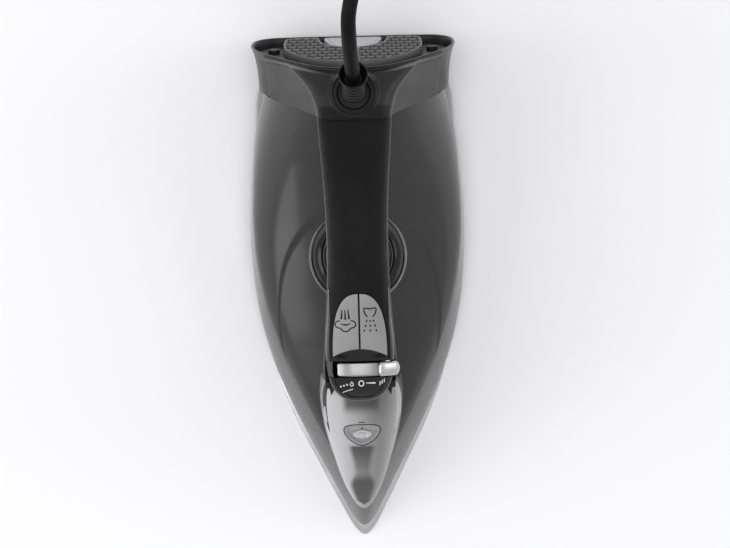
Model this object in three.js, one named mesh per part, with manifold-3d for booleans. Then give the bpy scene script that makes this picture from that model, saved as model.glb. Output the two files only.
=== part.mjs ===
// A steam iron resting on its soleplate, as an assembly of separate pieces.
// Millimetres. +X is the iron's right, +Y runs from the tip to the heel, +Z is up.
// The origin lies on the resting surface, midway along and across the iron.
import * as THREE from "three";
import { mergeVertices } from "three/addons/utils/BufferGeometryUtils.js";
import Module from "manifold-3d";

// ---------------------------------------------------------------- driving dimensions
const GAP = 0.3; // clearance between pieces that rest on each other
const TIP_Y = -150; // point of the soleplate
const HEEL_Y = 150; // lowest edge of the heel rim
const HEEL_Z = 8; // height of that edge
const HEEL_TILT = THREE.MathUtils.degToRad(10.5); // the heel leans forward as it rises
const COLLAR_LENGTH = 26; // from the rim to the seam with the body
const WALL = 2.4; // plastic wall
const DIAL_Y = 22; // the dial turns about an upright axis here
const DIAL_RADIUS = 25.6;
const BUTTON_TRAVEL = 3; // how far each pump button goes down
const LEVER_Y = -36.2; // middle of the steam lever along the iron
const GLAND_Y = 116; // the cord turns about an upright axis here
const BOOT_LEAN = THREE.MathUtils.degToRad(24); // the cord leaves up and backwards
const CORD_RADIUS = 4; // a mains cord with a woven or rubber sheath
const COIL_Y = 300; // middle of the coil that lies behind the iron

// ---------------------------------------------------------------- materials
const plastic = (color, roughness) => new THREE.MeshStandardMaterial({ color, roughness, metalness: 0 });
const metal = (color, roughness) => new THREE.MeshStandardMaterial({ color, roughness, metalness: 1 });
const MATERIAL = {
  darkGloss: plastic(0x4c4c4e, 0.2),
  rimGrey: plastic(0x77777a, 0.3),
  softBlack: plastic(0x161617, 0.7),
  panelBlack: plastic(0x101011, 0.35),
  buttonGrey: plastic(0x8b8b8d, 0.45),
  silver: metal(0xb9b9bb, 0.35),
  smoke: plastic(0x9c9ca0, 0.15),
  rubber: plastic(0x3a3a3b, 0.8),
  innerPlastic: plastic(0xd8d8d4, 0.6),
  aluminium: metal(0xb4b6b8, 0.45),
  steel: metal(0xc4c6c8, 0.3),
  brass: metal(0xb08d4a, 0.4),
  silicone: plastic(0xb4b0a8, 0.7),
};

// ---------------------------------------------------------------- solids
const wasm = await Module();
wasm.setup();

// A closed three.js geometry as a manifold-3d solid.
function solid(geometry) {
  const bare = new THREE.BufferGeometry();
  bare.setAttribute("position", geometry.getAttribute("position"));
  bare.setIndex(geometry.index);
  const merged = mergeVertices(bare, 1e-4);
  return new wasm.Manifold(
    new wasm.Mesh({
      numProp: 3,
      vertProperties: merged.attributes.position.array,
      triVerts: new Uint32Array(merged.index.array),
    }),
  );
}

// The solid's faces as a three.js geometry.
function geometryOf(body) {
  const { vertProperties, triVerts } = body.getMesh();
  const geometry = new THREE.BufferGeometry();
  geometry.setAttribute("position", new THREE.BufferAttribute(vertProperties, 3));
  geometry.setIndex(new THREE.BufferAttribute(triVerts, 1));
  return geometry;
}

// The same shape, moved and turned about X.
function placed(geometry, { x = 0, y = 0, z = 0, tilt = 0 } = {}) {
  return geometry.clone().rotateX(tilt).translate(x, y, z);
}

const box = (dx, dy, dz, place) => solid(placed(new THREE.BoxGeometry(dx, dy, dz), place));

// A cylinder standing along Z on the given place.
function post(radius, height, place, sides = 20, topRadius = radius) {
  const geometry = new THREE.CylinderGeometry(topRadius, radius, height, sides);
  geometry.rotateX(Math.PI / 2).translate(0, 0, height / 2);
  return solid(placed(geometry, place));
}

// A ring or cup turned about Z from [radius, height] corners of a closed profile.
function turned(corners, place, sides = 24) {
  const profile = corners.map(([r, h]) => new THREE.Vector2(r, h));
  profile.push(profile[0].clone());
  const geometry = new THREE.LatheGeometry(profile, sides).rotateX(Math.PI / 2);
  return solid(placed(geometry, place));
}

const tube = (outer, inner, height, place, sides = 20) =>
  turned([[inner, 0], [outer, 0], [outer, height], [inner, height]], place, sides);

// A surface through rings of equally many points, closed by a fan at each end.
function loft(rings) {
  const count = rings[0].length;
  const positions = rings.flat().flatMap((p) => [p.x, p.y, p.z]);
  const faces = [];
  for (let r = 0; r + 1 < rings.length; r++) {
    for (let i = 0; i < count; i++) {
      const j = (i + 1) % count;
      const [a, b, c, d] = [r * count + i, r * count + j, (r + 1) * count + j, (r + 1) * count + i];
      faces.push(a, b, c, a, c, d);
    }
  }
  const lastRow = (rings.length - 1) * count;
  for (const [ring, first, turn] of [[rings[0], 0, 1], [rings.at(-1), lastRow, 0]]) {
    const middle = ring.reduce((sum, p) => sum.add(p), new THREE.Vector3()).divideScalar(count);
    const centre = positions.length / 3;
    positions.push(middle.x, middle.y, middle.z);
    for (let i = 0; i < count; i++) {
      const pair = [first + i, first + ((i + 1) % count)];
      faces.push(centre, pair[turn], pair[1 - turn]);
    }
  }
  const geometry = new THREE.BufferGeometry();
  geometry.setAttribute("position", new THREE.BufferAttribute(new Float32Array(positions), 3));
  geometry.setIndex(faces);
  const made = solid(geometry);
  if (made.volume() > 0) return made;
  for (let i = 0; i < faces.length; i += 3) [faces[i + 1], faces[i + 2]] = [faces[i + 2], faces[i + 1]];
  geometry.setIndex(faces);
  return solid(geometry);
}

// A smooth function through [position, value] stations, level beyond both ends.
function through(stations) {
  const last = stations.length - 1;
  const slope = (k) => {
    const [before, after] = [stations[Math.max(k - 1, 0)], stations[Math.min(k + 1, last)]];
    return (after[1] - before[1]) / (after[0] - before[0]);
  };
  return (at) => {
    if (at <= stations[0][0]) return stations[0][1];
    if (at >= stations[last][0]) return stations[last][1];
    const k = stations.findIndex(([place]) => place > at) - 1;
    const [[from, start], [to, end]] = [stations[k], stations[k + 1]];
    const span = to - from;
    const t = (at - from) / span;
    const rise = end - start;
    const bend = (1 - t) * (slope(k) * span - rise) - t * (slope(k + 1) * span - rise);
    return start + rise * t + t * (1 - t) * bend;
  };
}

// A straight bar of the plan outline, from low to high.
function extruded(points, low, high, place) {
  const shape = new THREE.Shape(points.map(([x, y]) => new THREE.Vector2(x, y)));
  const geometry = new THREE.ExtrudeGeometry(shape, { depth: high - low, bevelEnabled: false });
  return solid(placed(geometry.translate(0, 0, low), place));
}

// A round tube along a smooth curve through the points.
function pipe(points, radius, steps, sides = 8) {
  const path = new THREE.CatmullRomCurve3(points.map((p) => new THREE.Vector3(...p)));
  const section = new THREE.Shape();
  for (let i = 0; i < sides; i++) {
    const angle = (2 * Math.PI * i) / sides;
    const [x, y] = [radius * Math.cos(angle), radius * Math.sin(angle)];
    if (i === 0) section.moveTo(x, y);
    else section.lineTo(x, y);
  }
  section.closePath();
  return solid(new THREE.ExtrudeGeometry(section, { steps, extrudePath: path, bevelEnabled: false }));
}

// ---------------------------------------------------------------- the assembly
const iron = new THREE.Group();

function add(name, body, material) {
  const mesh = new THREE.Mesh(geometryOf(body), material);
  mesh.name = name;
  iron.add(mesh);
  return mesh;
}

// ---------------------------------------------------------------- plan outlines
// Right-hand half outlines from the point to the rear, as [x, y].
const SOLE_HALF = [
  [0, TIP_Y], [4.6, -146.6], [15.3, -127.8], [27.2, -104], [39, -80], [48.2, -56],
  [54.3, -32], [57.6, -8], [58.6, 20], [57.6, 50], [54, 76], [45, 91], [26, 97], [0, 98.5],
];
const SKIRT_LOW_HALF = [
  [0, -144], [4.2, -141], [11.8, -128], [24.2, -104], [36.4, -80], [47.2, -56],
  [55.3, -32], [60.5, -8], [62.9, 18], [63.3, 42], [61.8, 68], [59.2, 95], [55.8, 124], [0, 140],
];
const SKIRT_TOP_HALF = [
  [0, -128], [3.2, -126.4], [8.6, -116], [18.2, -97], [28.6, -77], [38.4, -56],
  [48.2, -32], [55.4, -8], [60, 18], [61.6, 42], [60.6, 68], [58.4, 95], [55.4, 124], [0, 140],
];

// A closed plan ring at height z; shrink pulls it in towards its own middle line.
function planRing(half, z, shrink = 0, count = 44) {
  const left = half.slice(1, -1).reverse().map(([x, y]) => [-x, y]);
  const corners = [...half, ...left].map(([x, y]) => new THREE.Vector3(x, y, 0));
  const curve = new THREE.CatmullRomCurve3(corners, true, "centripetal");
  const raw = curve.getPoints(count).slice(0, count);
  return raw.map((p, i) => {
    const along = raw[(i + 1) % count].clone().sub(raw[(i + count - 1) % count]).normalize();
    return new THREE.Vector3(p.x - along.y * shrink, p.y + along.x * shrink, z);
  });
}

const plate = (half, low, high, shrink = 0, count = 44) =>
  loft([planRing(half, low, shrink, count), planRing(half, high, shrink, count)]);

// The same outline drawn in towards the middle of the soleplate.
const SOLE_MIDDLE_Y = 15;
const drawnIn = (half, k) => half.map(([x, y]) => [x * k, SOLE_MIDDLE_Y + (y - SOLE_MIDDLE_Y) * k]);

// ---------------------------------------------------------------- heel frame
// A point of the heel's own frame: across, along the heel's outward normal, up the heel.
const heelPlace = (y = 0, z = 0) => ({
  y: HEEL_Y + y * Math.cos(HEEL_TILT) - z * Math.sin(HEEL_TILT),
  z: HEEL_Z + y * Math.sin(HEEL_TILT) + z * Math.cos(HEEL_TILT),
  tilt: HEEL_TILT,
});
const SLAB = 400;
// Everything behind the plane that lies `depth` in front of the rim.
const behindSeam = (depth) => box(SLAB, SLAB, SLAB, heelPlace(SLAB / 2 - depth, 0));

// ---------------------------------------------------------------- body of the iron
const SHELL_BASE = 24; // where the upper shell stands on the skirt
const REAR_Y = 132; // the shell's sections run past the heel seam and are trimmed there
const archWidth = through(SKIRT_TOP_HALF.slice(0, -1).map(([x, y]) => [y, x]));
const archTop = through([
  [-128, 28], [-110, 34], [-80, 41], [-40, 48], [0, 54], [40, 63], [75, 77], [100, 93],
  [116, 102], [REAR_Y, 105],
]);

// One arched section across the body at y, closed along its base.
function archRing(y, base, shrink, sides = 18) {
  const width = Math.max(archWidth(y) - shrink, 0.6);
  const rise = Math.max(archTop(y) - shrink - SHELL_BASE, 0.6);
  const ring = [new THREE.Vector3(0, y, base)];
  for (let i = 0; i <= sides; i++) {
    const angle = (Math.PI * i) / sides;
    const [c, s] = [Math.cos(angle), Math.sin(angle)];
    const bend = 2 / 1.8;
    const height = SHELL_BASE + rise * Math.abs(s) ** bend;
    const across = width * Math.sign(c) * Math.abs(c) ** bend;
    ring.push(new THREE.Vector3(across, y, i === 0 || i === sides ? base : Math.max(height, base)));
  }
  return ring;
}

const ARCH_STATIONS = [-127.4, -120, -108, -90, -68, -42, -14, 16, 44, 68, 88, 106, REAR_Y];
const arch = (base, shrink = 0) => loft(ARCH_STATIONS.map((y) => archRing(y, base, shrink)));

// ---------------------------------------------------------------- handle and nose
const SPLIT_DROP = 13; // the grip is the top of the handle, down to this far below its crest
const HANDLE_REAR_Y = 134;
const HANDLE_FRONT_Y = -61;
const handleTop = through([
  [HANDLE_FRONT_Y, 107], [-56, 114], [-48, 121.5], [-36, 127.5], [-20, 133], [7, 138.5],
  [35, 140], [65, 137], [90, 131], [111, 125], [122, 122], [HANDLE_REAR_Y, 116],
]);
const handleBottom = through([[-24, 104.5], [0, 107], [35, 108.5], [65, 107], [90, 102.5], [106, 97]]);
const handleWidth = through([
  [HANDLE_FRONT_Y, 13], [-57, 17], [-48, 20], [-36, 20], [-20, 18.8], [10, 16.8], [36, 16.4],
  [62, 17.2], [90, 19.2], [111, 20.8], [HANDLE_REAR_Y, 22],
]);

// A rounded closed section across the handle at y.
function handleRing(y, { bottom = handleBottom(y), raise = 0, shrink = 0, sides = 20 } = {}) {
  const width = handleWidth(y) - shrink;
  const high = handleTop(y) + raise - shrink;
  const low = bottom + shrink;
  const middle = (high + low) / 2;
  const bend = 2 / 2.5;
  return Array.from({ length: sides }, (_, i) => {
    const angle = (2 * Math.PI * (i + 0.5)) / sides;
    const [c, s] = [Math.cos(angle), Math.sin(angle)];
    const across = width * Math.sign(c) * Math.abs(c) ** bend;
    const up = ((high - low) / 2) * Math.sign(s) * Math.abs(s) ** bend;
    return new THREE.Vector3(across, y, middle + up);
  });
}

const HANDLE_STATIONS = [
  -61, -58, -54, -48, -40, -30, -18, -6, 8, 24, 42, 60, 78, 94, 108, 120, HANDLE_REAR_Y,
];
const handleBar = (options = {}, from = HANDLE_FRONT_Y, to = HANDLE_REAR_Y) =>
  loft(
    HANDLE_STATIONS.filter((y) => y >= from && y <= to).map((y) => handleRing(y, options)),
  );

// Everything below the line that parts the grip from the lower handle, lowered by `drop`.
function belowSplit(drop) {
  const corners = (y) => {
    const level = handleTop(y) - drop;
    return [[-60, 0], [60, 0], [60, level], [-60, level]].map(([x, z]) => new THREE.Vector3(x, y, z));
  };
  return loft(HANDLE_STATIONS.map((y, k) => corners(y - (k === 0 ? 1 : 0))));
}

const NOSE_REAR_Y = -42;
const noseTop = through([
  [-129.5, 29], [-124, 37], [-110, 54], [-92, 74], [-76, 91], [-66, 101], [-56, 106], [NOSE_REAR_Y, 108],
]);
const noseWidth = through([
  [-129.5, 2.5], [-126, 5.2], [-114, 10.2], [-96, 15], [-78, 19.6], [-64, 23], [-54, 24], [NOSE_REAR_Y, 22],
]);
const NOSE_BASE = 27;
const NOSE_POWER = 0.66; // 1 would make the section an ellipse, less makes it fuller

// A section across the nose at y: upright sides and a rounded crest.
function noseRing(y, shrink, base = NOSE_BASE, sides = 18) {
  const width = Math.max(noseWidth(y) - shrink, 0.5);
  const rise = Math.max(noseTop(y) - shrink - base, 0.5);
  const ring = [new THREE.Vector3(0, y, base)];
  for (let i = 0; i <= sides; i++) {
    const angle = (Math.PI * i) / sides;
    const [c, s] = [Math.cos(angle), Math.sin(angle)];
    const x = width * Math.sign(c) * Math.abs(c) ** NOSE_POWER;
    ring.push(new THREE.Vector3(x, y, base + rise * Math.abs(s) ** NOSE_POWER));
  }
  return ring;
}

const NOSE_STATIONS = [-129.5, -127, -122, -114, -104, -92, -80, -70, -62, -54, -48, NOSE_REAR_Y];
function nose(shrink, base) {
  const first = -shrink;
  return loft(NOSE_STATIONS.map((y, k) => noseRing(y - (k === 0 ? first : 0), shrink, base)));
}

// ---------------------------------------------------------------- heel outline
// Right-hand half of the heel rim in the heel's frame, as [x, height].
const RIM_HALF = [
  [0, 0], [36, 0.2], [50, 2.4], [57.4, 11], [59.4, 28], [57, 42], [52, 54.5], [45.5, 66],
  [38.5, 78], [30, 91], [18, 104], [0, 110],
];
function rimRing(depth, scale, inset = 0, count = 40) {
  const left = RIM_HALF.slice(1, -1).reverse().map(([x, h]) => [-x, h]);
  const corners = [...RIM_HALF, ...left].map(([x, h]) => new THREE.Vector3(x, h, 0));
  const raw = new THREE.CatmullRomCurve3(corners, true, "centripetal").getPoints(count).slice(0, count);
  const place = heelPlace(depth, 0);
  return raw.map((p, i) => {
    const along = raw[(i + 1) % count].clone().sub(raw[(i + count - 1) % count]).normalize();
    const x = p.x * scale - along.y * inset;
    const h = 0.8 + p.y * (scale ** 1.2) + along.x * inset;
    return new THREE.Vector3(x, 0, h).applyAxisAngle(new THREE.Vector3(1, 0, 0), HEEL_TILT)
      .add(new THREE.Vector3(0, place.y, place.z));
  });
}
const COLLAR_STATIONS = [[-COLLAR_LENGTH, 0.932], [-14, 0.945], [-6, 0.968], [0, 1]];
// The collar as a solid, its walls drawn in by `inset` and both ends run on by `extend`.
function collarSolid(inset, extend = 0) {
  const last = COLLAR_STATIONS.length - 1;
  return loft(
    COLLAR_STATIONS.map(([depth, scale], k) => {
      const over = k === last ? extend : 0;
      return rimRing(depth + (k === 0 ? -extend : over), scale, inset);
    }),
  );
}
const heelSlab = (front, back, inset) => loft([rimRing(front, 0.985, inset), rimRing(back, 0.985, inset)]);

// ---------------------------------------------------------------- soleplate
const SOLE_EDGE = 3;
const SOLE_TOP = 10;
const ELEMENT_RADIUS = 3.2;
const ELEMENT_ROUTE = [
  [-22, 88, 15], [-24, 80, 9.4], [-31, 60, 9], [-36, 20, 9], [-31, -24, 9], [-18, -62, 9],
  [-6, -88, 9], [0, -92, 9], [6, -88, 9], [18, -62, 9], [31, -24, 9], [36, 20, 9], [31, 60, 9],
  [24, 80, 9.4], [22, 88, 15],
];
const SCREW_PLACES = { front: [0, -104], left: [-44, 40], right: [44, 40] };

const PORT_ROWS = [-116, -100, -78, -52, -20]; // one hole in the first row, two in each later one
const PORT_RADIUS = 1.5;

function steamPorts(body) {
  for (const [row, y] of PORT_ROWS.entries()) {
    for (const side of row === 0 ? [0] : [-1, 1]) {
      body = body.subtract(post(PORT_RADIUS, 20, { x: side * (5 + 7.4 * row), y, z: -5 }, 8));
    }
  }
  return body;
}

// An upright-walled channel of the given half width that follows a route in plan.
function channelAlong(route, half, low, high, steps = 24) {
  const path = new THREE.CatmullRomCurve3(route.map(([x, y]) => new THREE.Vector3(x, y, 0)));
  const [near, far] = [[], []];
  for (let i = 0; i <= steps; i++) {
    const [p, t] = [path.getPoint(i / steps), path.getTangent(i / steps)];
    near.push([p.x - t.y * half, p.y + t.x * half]);
    far.unshift([p.x + t.y * half, p.y - t.x * half]);
  }
  return extruded([...near, ...far], low, high);
}

// The steam chamber is a hollow in the casting, closed by a gasket and a cover.
const CHAMBER = [[-20, 50], [-24, 10], [-16, -40], [0, -82], [16, -40], [24, 10], [20, 50]];
const CHAMBER_FLOOR = 4.6;
const GASKET_HOLE = [[-19.5, 49], [-23, 10], [-15.5, -39], [0, -77], [15.5, -39], [23, 10], [19.5, 49]];
const LID = [[-22, 52], [-26, 10], [-18, -40], [0, -85], [18, -40], [26, 10], [22, 52]];
const ELEMENT_GROOVE_FLOOR = 5.4;

function makeSole() {
  const inner = plate(drawnIn(SOLE_HALF, 0.86), SOLE_EDGE - 1, SOLE_TOP, 0, 40);
  const chamber = extruded(CHAMBER, CHAMBER_FLOOR, 30);
  let sole = plate(SOLE_HALF, 0, SOLE_EDGE, 0, 48).add(inner).subtract(chamber);
  sole = sole.subtract(channelAlong(ELEMENT_ROUTE, ELEMENT_RADIUS + 3 * GAP, ELEMENT_GROOVE_FLOOR, 30));
  add("soleplate", steamPorts(sole), MATERIAL.aluminium);
  add("heating_element", pipe(ELEMENT_ROUTE, ELEMENT_RADIUS, 24), MATERIAL.steel);
  const gasket = extruded(LID, SOLE_TOP + GAP, SOLE_TOP + 1.3).subtract(extruded(GASKET_HOLE, 0, 40));
  add("chamber_gasket", gasket, MATERIAL.silicone);
  const drip = post(3.4, 40, { y: LEVER_Y, z: 0 });
  add("chamber_cover", extruded(LID, SOLE_TOP + 1.6, SOLE_TOP + 3).subtract(drip), MATERIAL.steel);
  makeSoleControls();
}

// The thermostat stands under the dial's shaft, and the fuse lies across the casting behind it.
function makeSoleControls() {
  const thermostat = box(20, 26, 5, { y: DIAL_Y, z: 16 }).add(post(4, 4, { y: DIAL_Y, z: 17 }, 16));
  add("thermostat", thermostat, MATERIAL.brass);
  const fuse = new THREE.CylinderGeometry(2.6, 2.6, 18, 14).rotateZ(Math.PI / 2);
  add("thermal_fuse", solid(placed(fuse, { y: 66, z: SOLE_TOP + 3.2 })), MATERIAL.silicone);
}

// ---------------------------------------------------------------- skirt, shell, tank
const SKIRT_FOOT = 4.5;
const SHAFT_HOLE = 4.2;

function makeSkirt() {
  const rise = (shrink, low, high) => {
    const rings = [0, 0.35, 0.7, 1].map((t) => {
      const z = low + (high - low) * t;
      const [foot, head] = [planRing(SKIRT_LOW_HALF, z, shrink), planRing(SKIRT_TOP_HALF, z, shrink)];
      return foot.map((p, i) => p.lerp(head[i], t ** 1.3));
    });
    return loft(rings);
  };
  const floor = box(SLAB, SLAB, 10, { z: SKIRT_FOOT - 3 });
  const soleRoom = plate(drawnIn(SOLE_HALF, 0.885), 0, 12, 0, 36);
  const room = rise(WALL, SKIRT_FOOT - 1, SHELL_BASE - WALL).subtract(floor).add(soleRoom);
  let skirt = rise(0, SKIRT_FOOT, SHELL_BASE - GAP).subtract(room);
  skirt = skirt.subtract(behindSeam(COLLAR_LENGTH + GAP));
  skirt = skirt.subtract(post(SHAFT_HOLE, 40, { y: DIAL_Y, z: 0 }));
  skirt = skirt.subtract(post(4, 40, { y: LEVER_Y, z: 0 }));
  skirt = skirt.subtract(box(60, 40, 10, { y: 100, z: SHELL_BASE }));
  add("skirt", skirt, MATERIAL.rimGrey);
}

const DIAL_FLOOR = 52;
function makeShell() {
  let shell = arch(SHELL_BASE).subtract(arch(SHELL_BASE - 6, WALL));
  const well = post(DIAL_RADIUS + 4, 10, { y: DIAL_Y, z: DIAL_FLOOR - WALL }, 40);
  shell = shell.add(well.intersect(arch(SHELL_BASE)));
  shell = shell.subtract(post(DIAL_RADIUS + 2, 60, { y: DIAL_Y, z: DIAL_FLOOR }, 40));
  shell = shell.subtract(post(SHAFT_HOLE, 40, { y: DIAL_Y, z: 30 }));
  shell = shell.subtract(nose(-GAP, SHELL_BASE - 3));
  shell = shell.subtract(columnSolid(-GAP, 40, 80));
  shell = shell.subtract(handleBar({ raise: GAP, shrink: -GAP }, 78));
  shell = shell.subtract(behindSeam(COLLAR_LENGTH + GAP));
  add("upper_shell", shell, MATERIAL.darkGloss);
}

const TANK_REAR = 84;
const TANK_FRONT = -26;
const TANK_WALL = 1.8;
const TANK_TOP = DIAL_FLOOR - WALL - 0.8;
function makeTank() {
  const block = (inset) => {
    const [low, high] = [SHELL_BASE + GAP + inset, TANK_TOP - inset];
    const length = TANK_REAR - TANK_FRONT - 2 * inset;
    const place = { y: (TANK_REAR + TANK_FRONT) / 2, z: (low + high) / 2 };
    return box(200, length, high - low, place).intersect(arch(SHELL_BASE - 1, WALL + 0.9 + inset));
  };
  const room = block(TANK_WALL).subtract(post(SHAFT_HOLE + TANK_WALL, 60, { y: DIAL_Y, z: 10 }));
  const neck = box(20, 8, 10, { y: TANK_FRONT, z: 36 });
  const tank = block(0).subtract(room).subtract(post(SHAFT_HOLE, 60, { y: DIAL_Y, z: 10 })).subtract(neck);
  add("water_tank", tank, MATERIAL.smoke);
  add("valve_seal", tube(6.4, 3, 1.6, { y: LEVER_Y, z: SHELL_BASE + GAP }), MATERIAL.silicone);
}

// ---------------------------------------------------------------- lower handle with its front column
const COLUMN_REAR = -27;
const COLUMN_FRONT = -60.5;
// An upright column with rounded corners; grow is added all round.
function columnSolid(grow, low, high, wide = 17) {
  const half = wide - grow;
  const [front, rear] = [COLUMN_FRONT + grow, COLUMN_REAR - grow];
  const corner = 6;
  const shape = new THREE.Shape();
  shape.moveTo(-half, rear - corner);
  shape.lineTo(-half, front);
  shape.lineTo(half, front);
  shape.lineTo(half, rear - corner);
  shape.absarc(half - corner, rear - corner, corner, 0, Math.PI / 2, false);
  shape.absarc(corner - half, rear - corner, corner, Math.PI / 2, Math.PI, false);
  const options = { depth: high - low, bevelEnabled: false, curveSegments: 5 };
  return solid(new THREE.ExtrudeGeometry(shape, options).translate(0, 0, low));
}

const HANDLE_WALL = 2.6;
const PANEL_REAR = -29.6; // the buttons end and the bezel begins
function makeHandle() {
  const whole = handleBar();
  const seam = behindSeam(COLLAR_LENGTH + GAP);
  const bottomHalf = belowSplit(SPLIT_DROP + GAP);
  const hollow = handleBar({ shrink: HANDLE_WALL });
  const columnHollow = columnSolid(HANDLE_WALL, 47, 112);
  let lower = whole.intersect(bottomHalf).add(columnSolid(0, 45, 109));
  lower = lower.subtract(hollow).subtract(columnHollow);
  lower = lower.subtract(nose(-GAP, NOSE_BASE).intersect(box(120, 200, 300, { y: COLUMN_FRONT - 100 })));
  lower = lower.subtract(bezelRegion(GAP)).subtract(seam);
  lower = lower.subtract(post(2.6, 9, { y: LEVER_Y, z: 40 }, 12));
  lower = lower.subtract(box(7, 6, 7, { x: 5.2, y: COLUMN_FRONT + 1, z: 66.4 }));
  add("handle_lower", lower, MATERIAL.softBlack);
  let grip = whole.subtract(belowSplit(SPLIT_DROP)).subtract(hollow).subtract(seam);
  grip = grip.subtract(bezelRegion(GAP)).subtract(buttonWell(0.5, 110, 200));
  add("handle_grip", grip, MATERIAL.softBlack);
}

// The front end of the handle's top, ahead of the buttons.
const BEZEL_FLOOR = 104;
const bezelRegion = (grow) => box(80, 60, 80, { y: PANEL_REAR - 30 + grow, z: BEZEL_FLOOR + 40 - grow });

// ---------------------------------------------------------------- buttons and their pumps
const BUTTON_LIP = 0.8;
function buttonOutline(grow, side = 0) {
  const shape = new THREE.Shape();
  const [half, front, rear] = [15 + grow, PANEL_REAR + 1 - grow, 6.5 + grow];
  shape.moveTo(side > 0 ? 0.3 : -half, front);
  if (side === 0) shape.lineTo(half, front);
  if (side > 0) shape.lineTo(half, front);
  if (side >= 0) shape.bezierCurveTo(half + 0.6, front + 14, half * 0.72, rear, side > 0 ? 0.3 : 0, rear);
  else shape.moveTo(-0.3, rear);
  if (side <= 0) shape.bezierCurveTo(-half * 0.72, rear, -half - 0.6, front + 14, -half, front);
  if (side < 0) shape.lineTo(-0.3, front);
  shape.closePath();
  return shape;
}
function buttonPrism(grow, low, high, side) {
  const options = { depth: high - low, bevelEnabled: false, curveSegments: 9 };
  return solid(new THREE.ExtrudeGeometry(buttonOutline(grow, side), options).translate(0, 0, low));
}
const buttonWell = (grow, low, high) => buttonPrism(grow, low, high, 0);

const PUMP_X = 6.8;
const PUMP_Y = -17;
const PUMP_FLOOR = 111.5;
const PUMP_HEIGHT = 7.4;
const STEM_RADIUS = 1.8;
const SPRING_STEPS = 8; // points to one turn of the wire

function springSolid(radius, wire, low, high, turns, place) {
  const points = [];
  const steps = turns * SPRING_STEPS;
  for (let i = 0; i <= steps; i++) {
    const angle = (2 * Math.PI * i) / SPRING_STEPS;
    const [x, y] = [place.x + radius * Math.cos(angle), place.y + radius * Math.sin(angle)];
    points.push([x, y, low + ((high - low) * i) / steps]);
  }
  return pipe(points, wire, steps, 5);
}

function makeButtons() {
  const skin = handleBar({ raise: BUTTON_LIP }).subtract(handleBar({ raise: -3.6 }));
  for (const [name, side] of [["steam", -1], ["spray", 1]]) {
    const x = side * PUMP_X;
    const place = { x, y: PUMP_Y };
    const stemTop = handleTop(PUMP_Y) - 3;
    const top = skin.intersect(buttonPrism(0, 116, 160, side));
    add(`${name}_button`, top, MATERIAL.buttonGrey);
    const stemBase = PUMP_FLOOR + 1 + BUTTON_TRAVEL;
    const stem = post(STEM_RADIUS, stemTop - 4 - stemBase, { ...place, z: stemBase }, 10);
    const flange = post(4.2, 1.4, { ...place, z: stemTop - 5.2 }, 12);
    add(`${name}_plunger`, stem.add(flange), MATERIAL.innerPlastic);
    const bore = post(2.2, 20, { ...place, z: PUMP_FLOOR + 0.8 }, 10);
    const barrel = post(5, PUMP_HEIGHT, { ...place, z: PUMP_FLOOR }, 16);
    add(`${name}_pump`, barrel.subtract(bore), MATERIAL.innerPlastic);
    const springLow = PUMP_FLOOR + PUMP_HEIGHT + 0.8;
    add(`${name}_spring`, springSolid(3.2, 0.45, springLow, stemTop - 6, 3, place), MATERIAL.steel);
  }
}

// ---------------------------------------------------------------- bezel, steam lever
const LEVER_PIVOT_Z = 96.5;
const LEVER_SWING = THREE.MathUtils.degToRad(30);
const TRACK_RADIUS = 29;
const BEZEL_DROP = SPLIT_DROP + 9; // how far below the handle's crown the bezel reaches
// An arc-shaped block about the lever's axis, angles from straight up towards +X.
function arcBlock(inner, outer, from, to, width, y = LEVER_Y, steps = 10) {
  const shape = new THREE.Shape();
  const at = (r, a) => [r * Math.sin(a), r * Math.cos(a)];
  for (let i = 0; i <= steps; i++) {
    const point = at(outer, from + ((to - from) * i) / steps);
    if (i === 0) shape.moveTo(...point);
    else shape.lineTo(...point);
  }
  for (let i = steps; i >= 0; i--) shape.lineTo(...at(inner, from + ((to - from) * i) / steps));
  const geometry = new THREE.ExtrudeGeometry(shape, { depth: width, bevelEnabled: false });
  geometry.rotateX(Math.PI / 2).translate(0, y + width / 2, LEVER_PIVOT_Z);
  return solid(geometry);
}

function makeBezel() {
  const track = arcBlock(TRACK_RADIUS - 2.6, TRACK_RADIUS, -0.46, 0.66, 8.8);
  const slot = arcBlock(10, TRACK_RADIUS + 1, -0.6, 0.61, 2.6);
  add("lever_track", track.subtract(slot), MATERIAL.silver);
  const well = arcBlock(TRACK_RADIUS - 3, 60, -0.64, 0.69, 9.6);
  const armRoom = arcBlock(0, TRACK_RADIUS + 2, -0.74, 0.74, 3.4);
  const tabRoom = arcBlock(TRACK_RADIUS + 0.25, 60, -1, 1, 10.2);
  let front = handleBar({}, HANDLE_FRONT_Y, 8).add(columnSolid(0, 100, 115));
  front = front.intersect(bezelRegion(-GAP)).subtract(belowSplit(BEZEL_DROP));
  const hollow = handleBar({ shrink: HANDLE_WALL }, HANDLE_FRONT_Y, 8);
  let bezel = front.subtract(hollow.subtract(box(80, 20, 200, { y: -58, z: 100 })));
  bezel = bezel.subtract(well).subtract(armRoom).subtract(tabRoom);
  bezel = bezel.subtract(labelPlate(GAP)).subtract(nose(-GAP, NOSE_BASE));
  add("front_bezel", bezel, MATERIAL.panelBlack);
  add("label_plate", labelPlate(0), MATERIAL.panelBlack);
}

const LABEL_OUTLINE = [
  [-13, -42.6], [-13.6, -48], [-11, -53], [-5, -55.6], [5, -55.6], [11, -53], [13.6, -48], [13, -42.6],
];
const LABEL_Y = -48;

function labelPlate(grow) {
  const skin = handleBar({ raise: 0.25 + grow }).subtract(handleBar({ raise: -1 - grow }));
  const grown = ([x, y]) => [x * (1 + grow / 13), y + Math.sign(y - LABEL_Y) * grow];
  return skin.intersect(extruded(LABEL_OUTLINE.map(grown), 100, 160));
}

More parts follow.
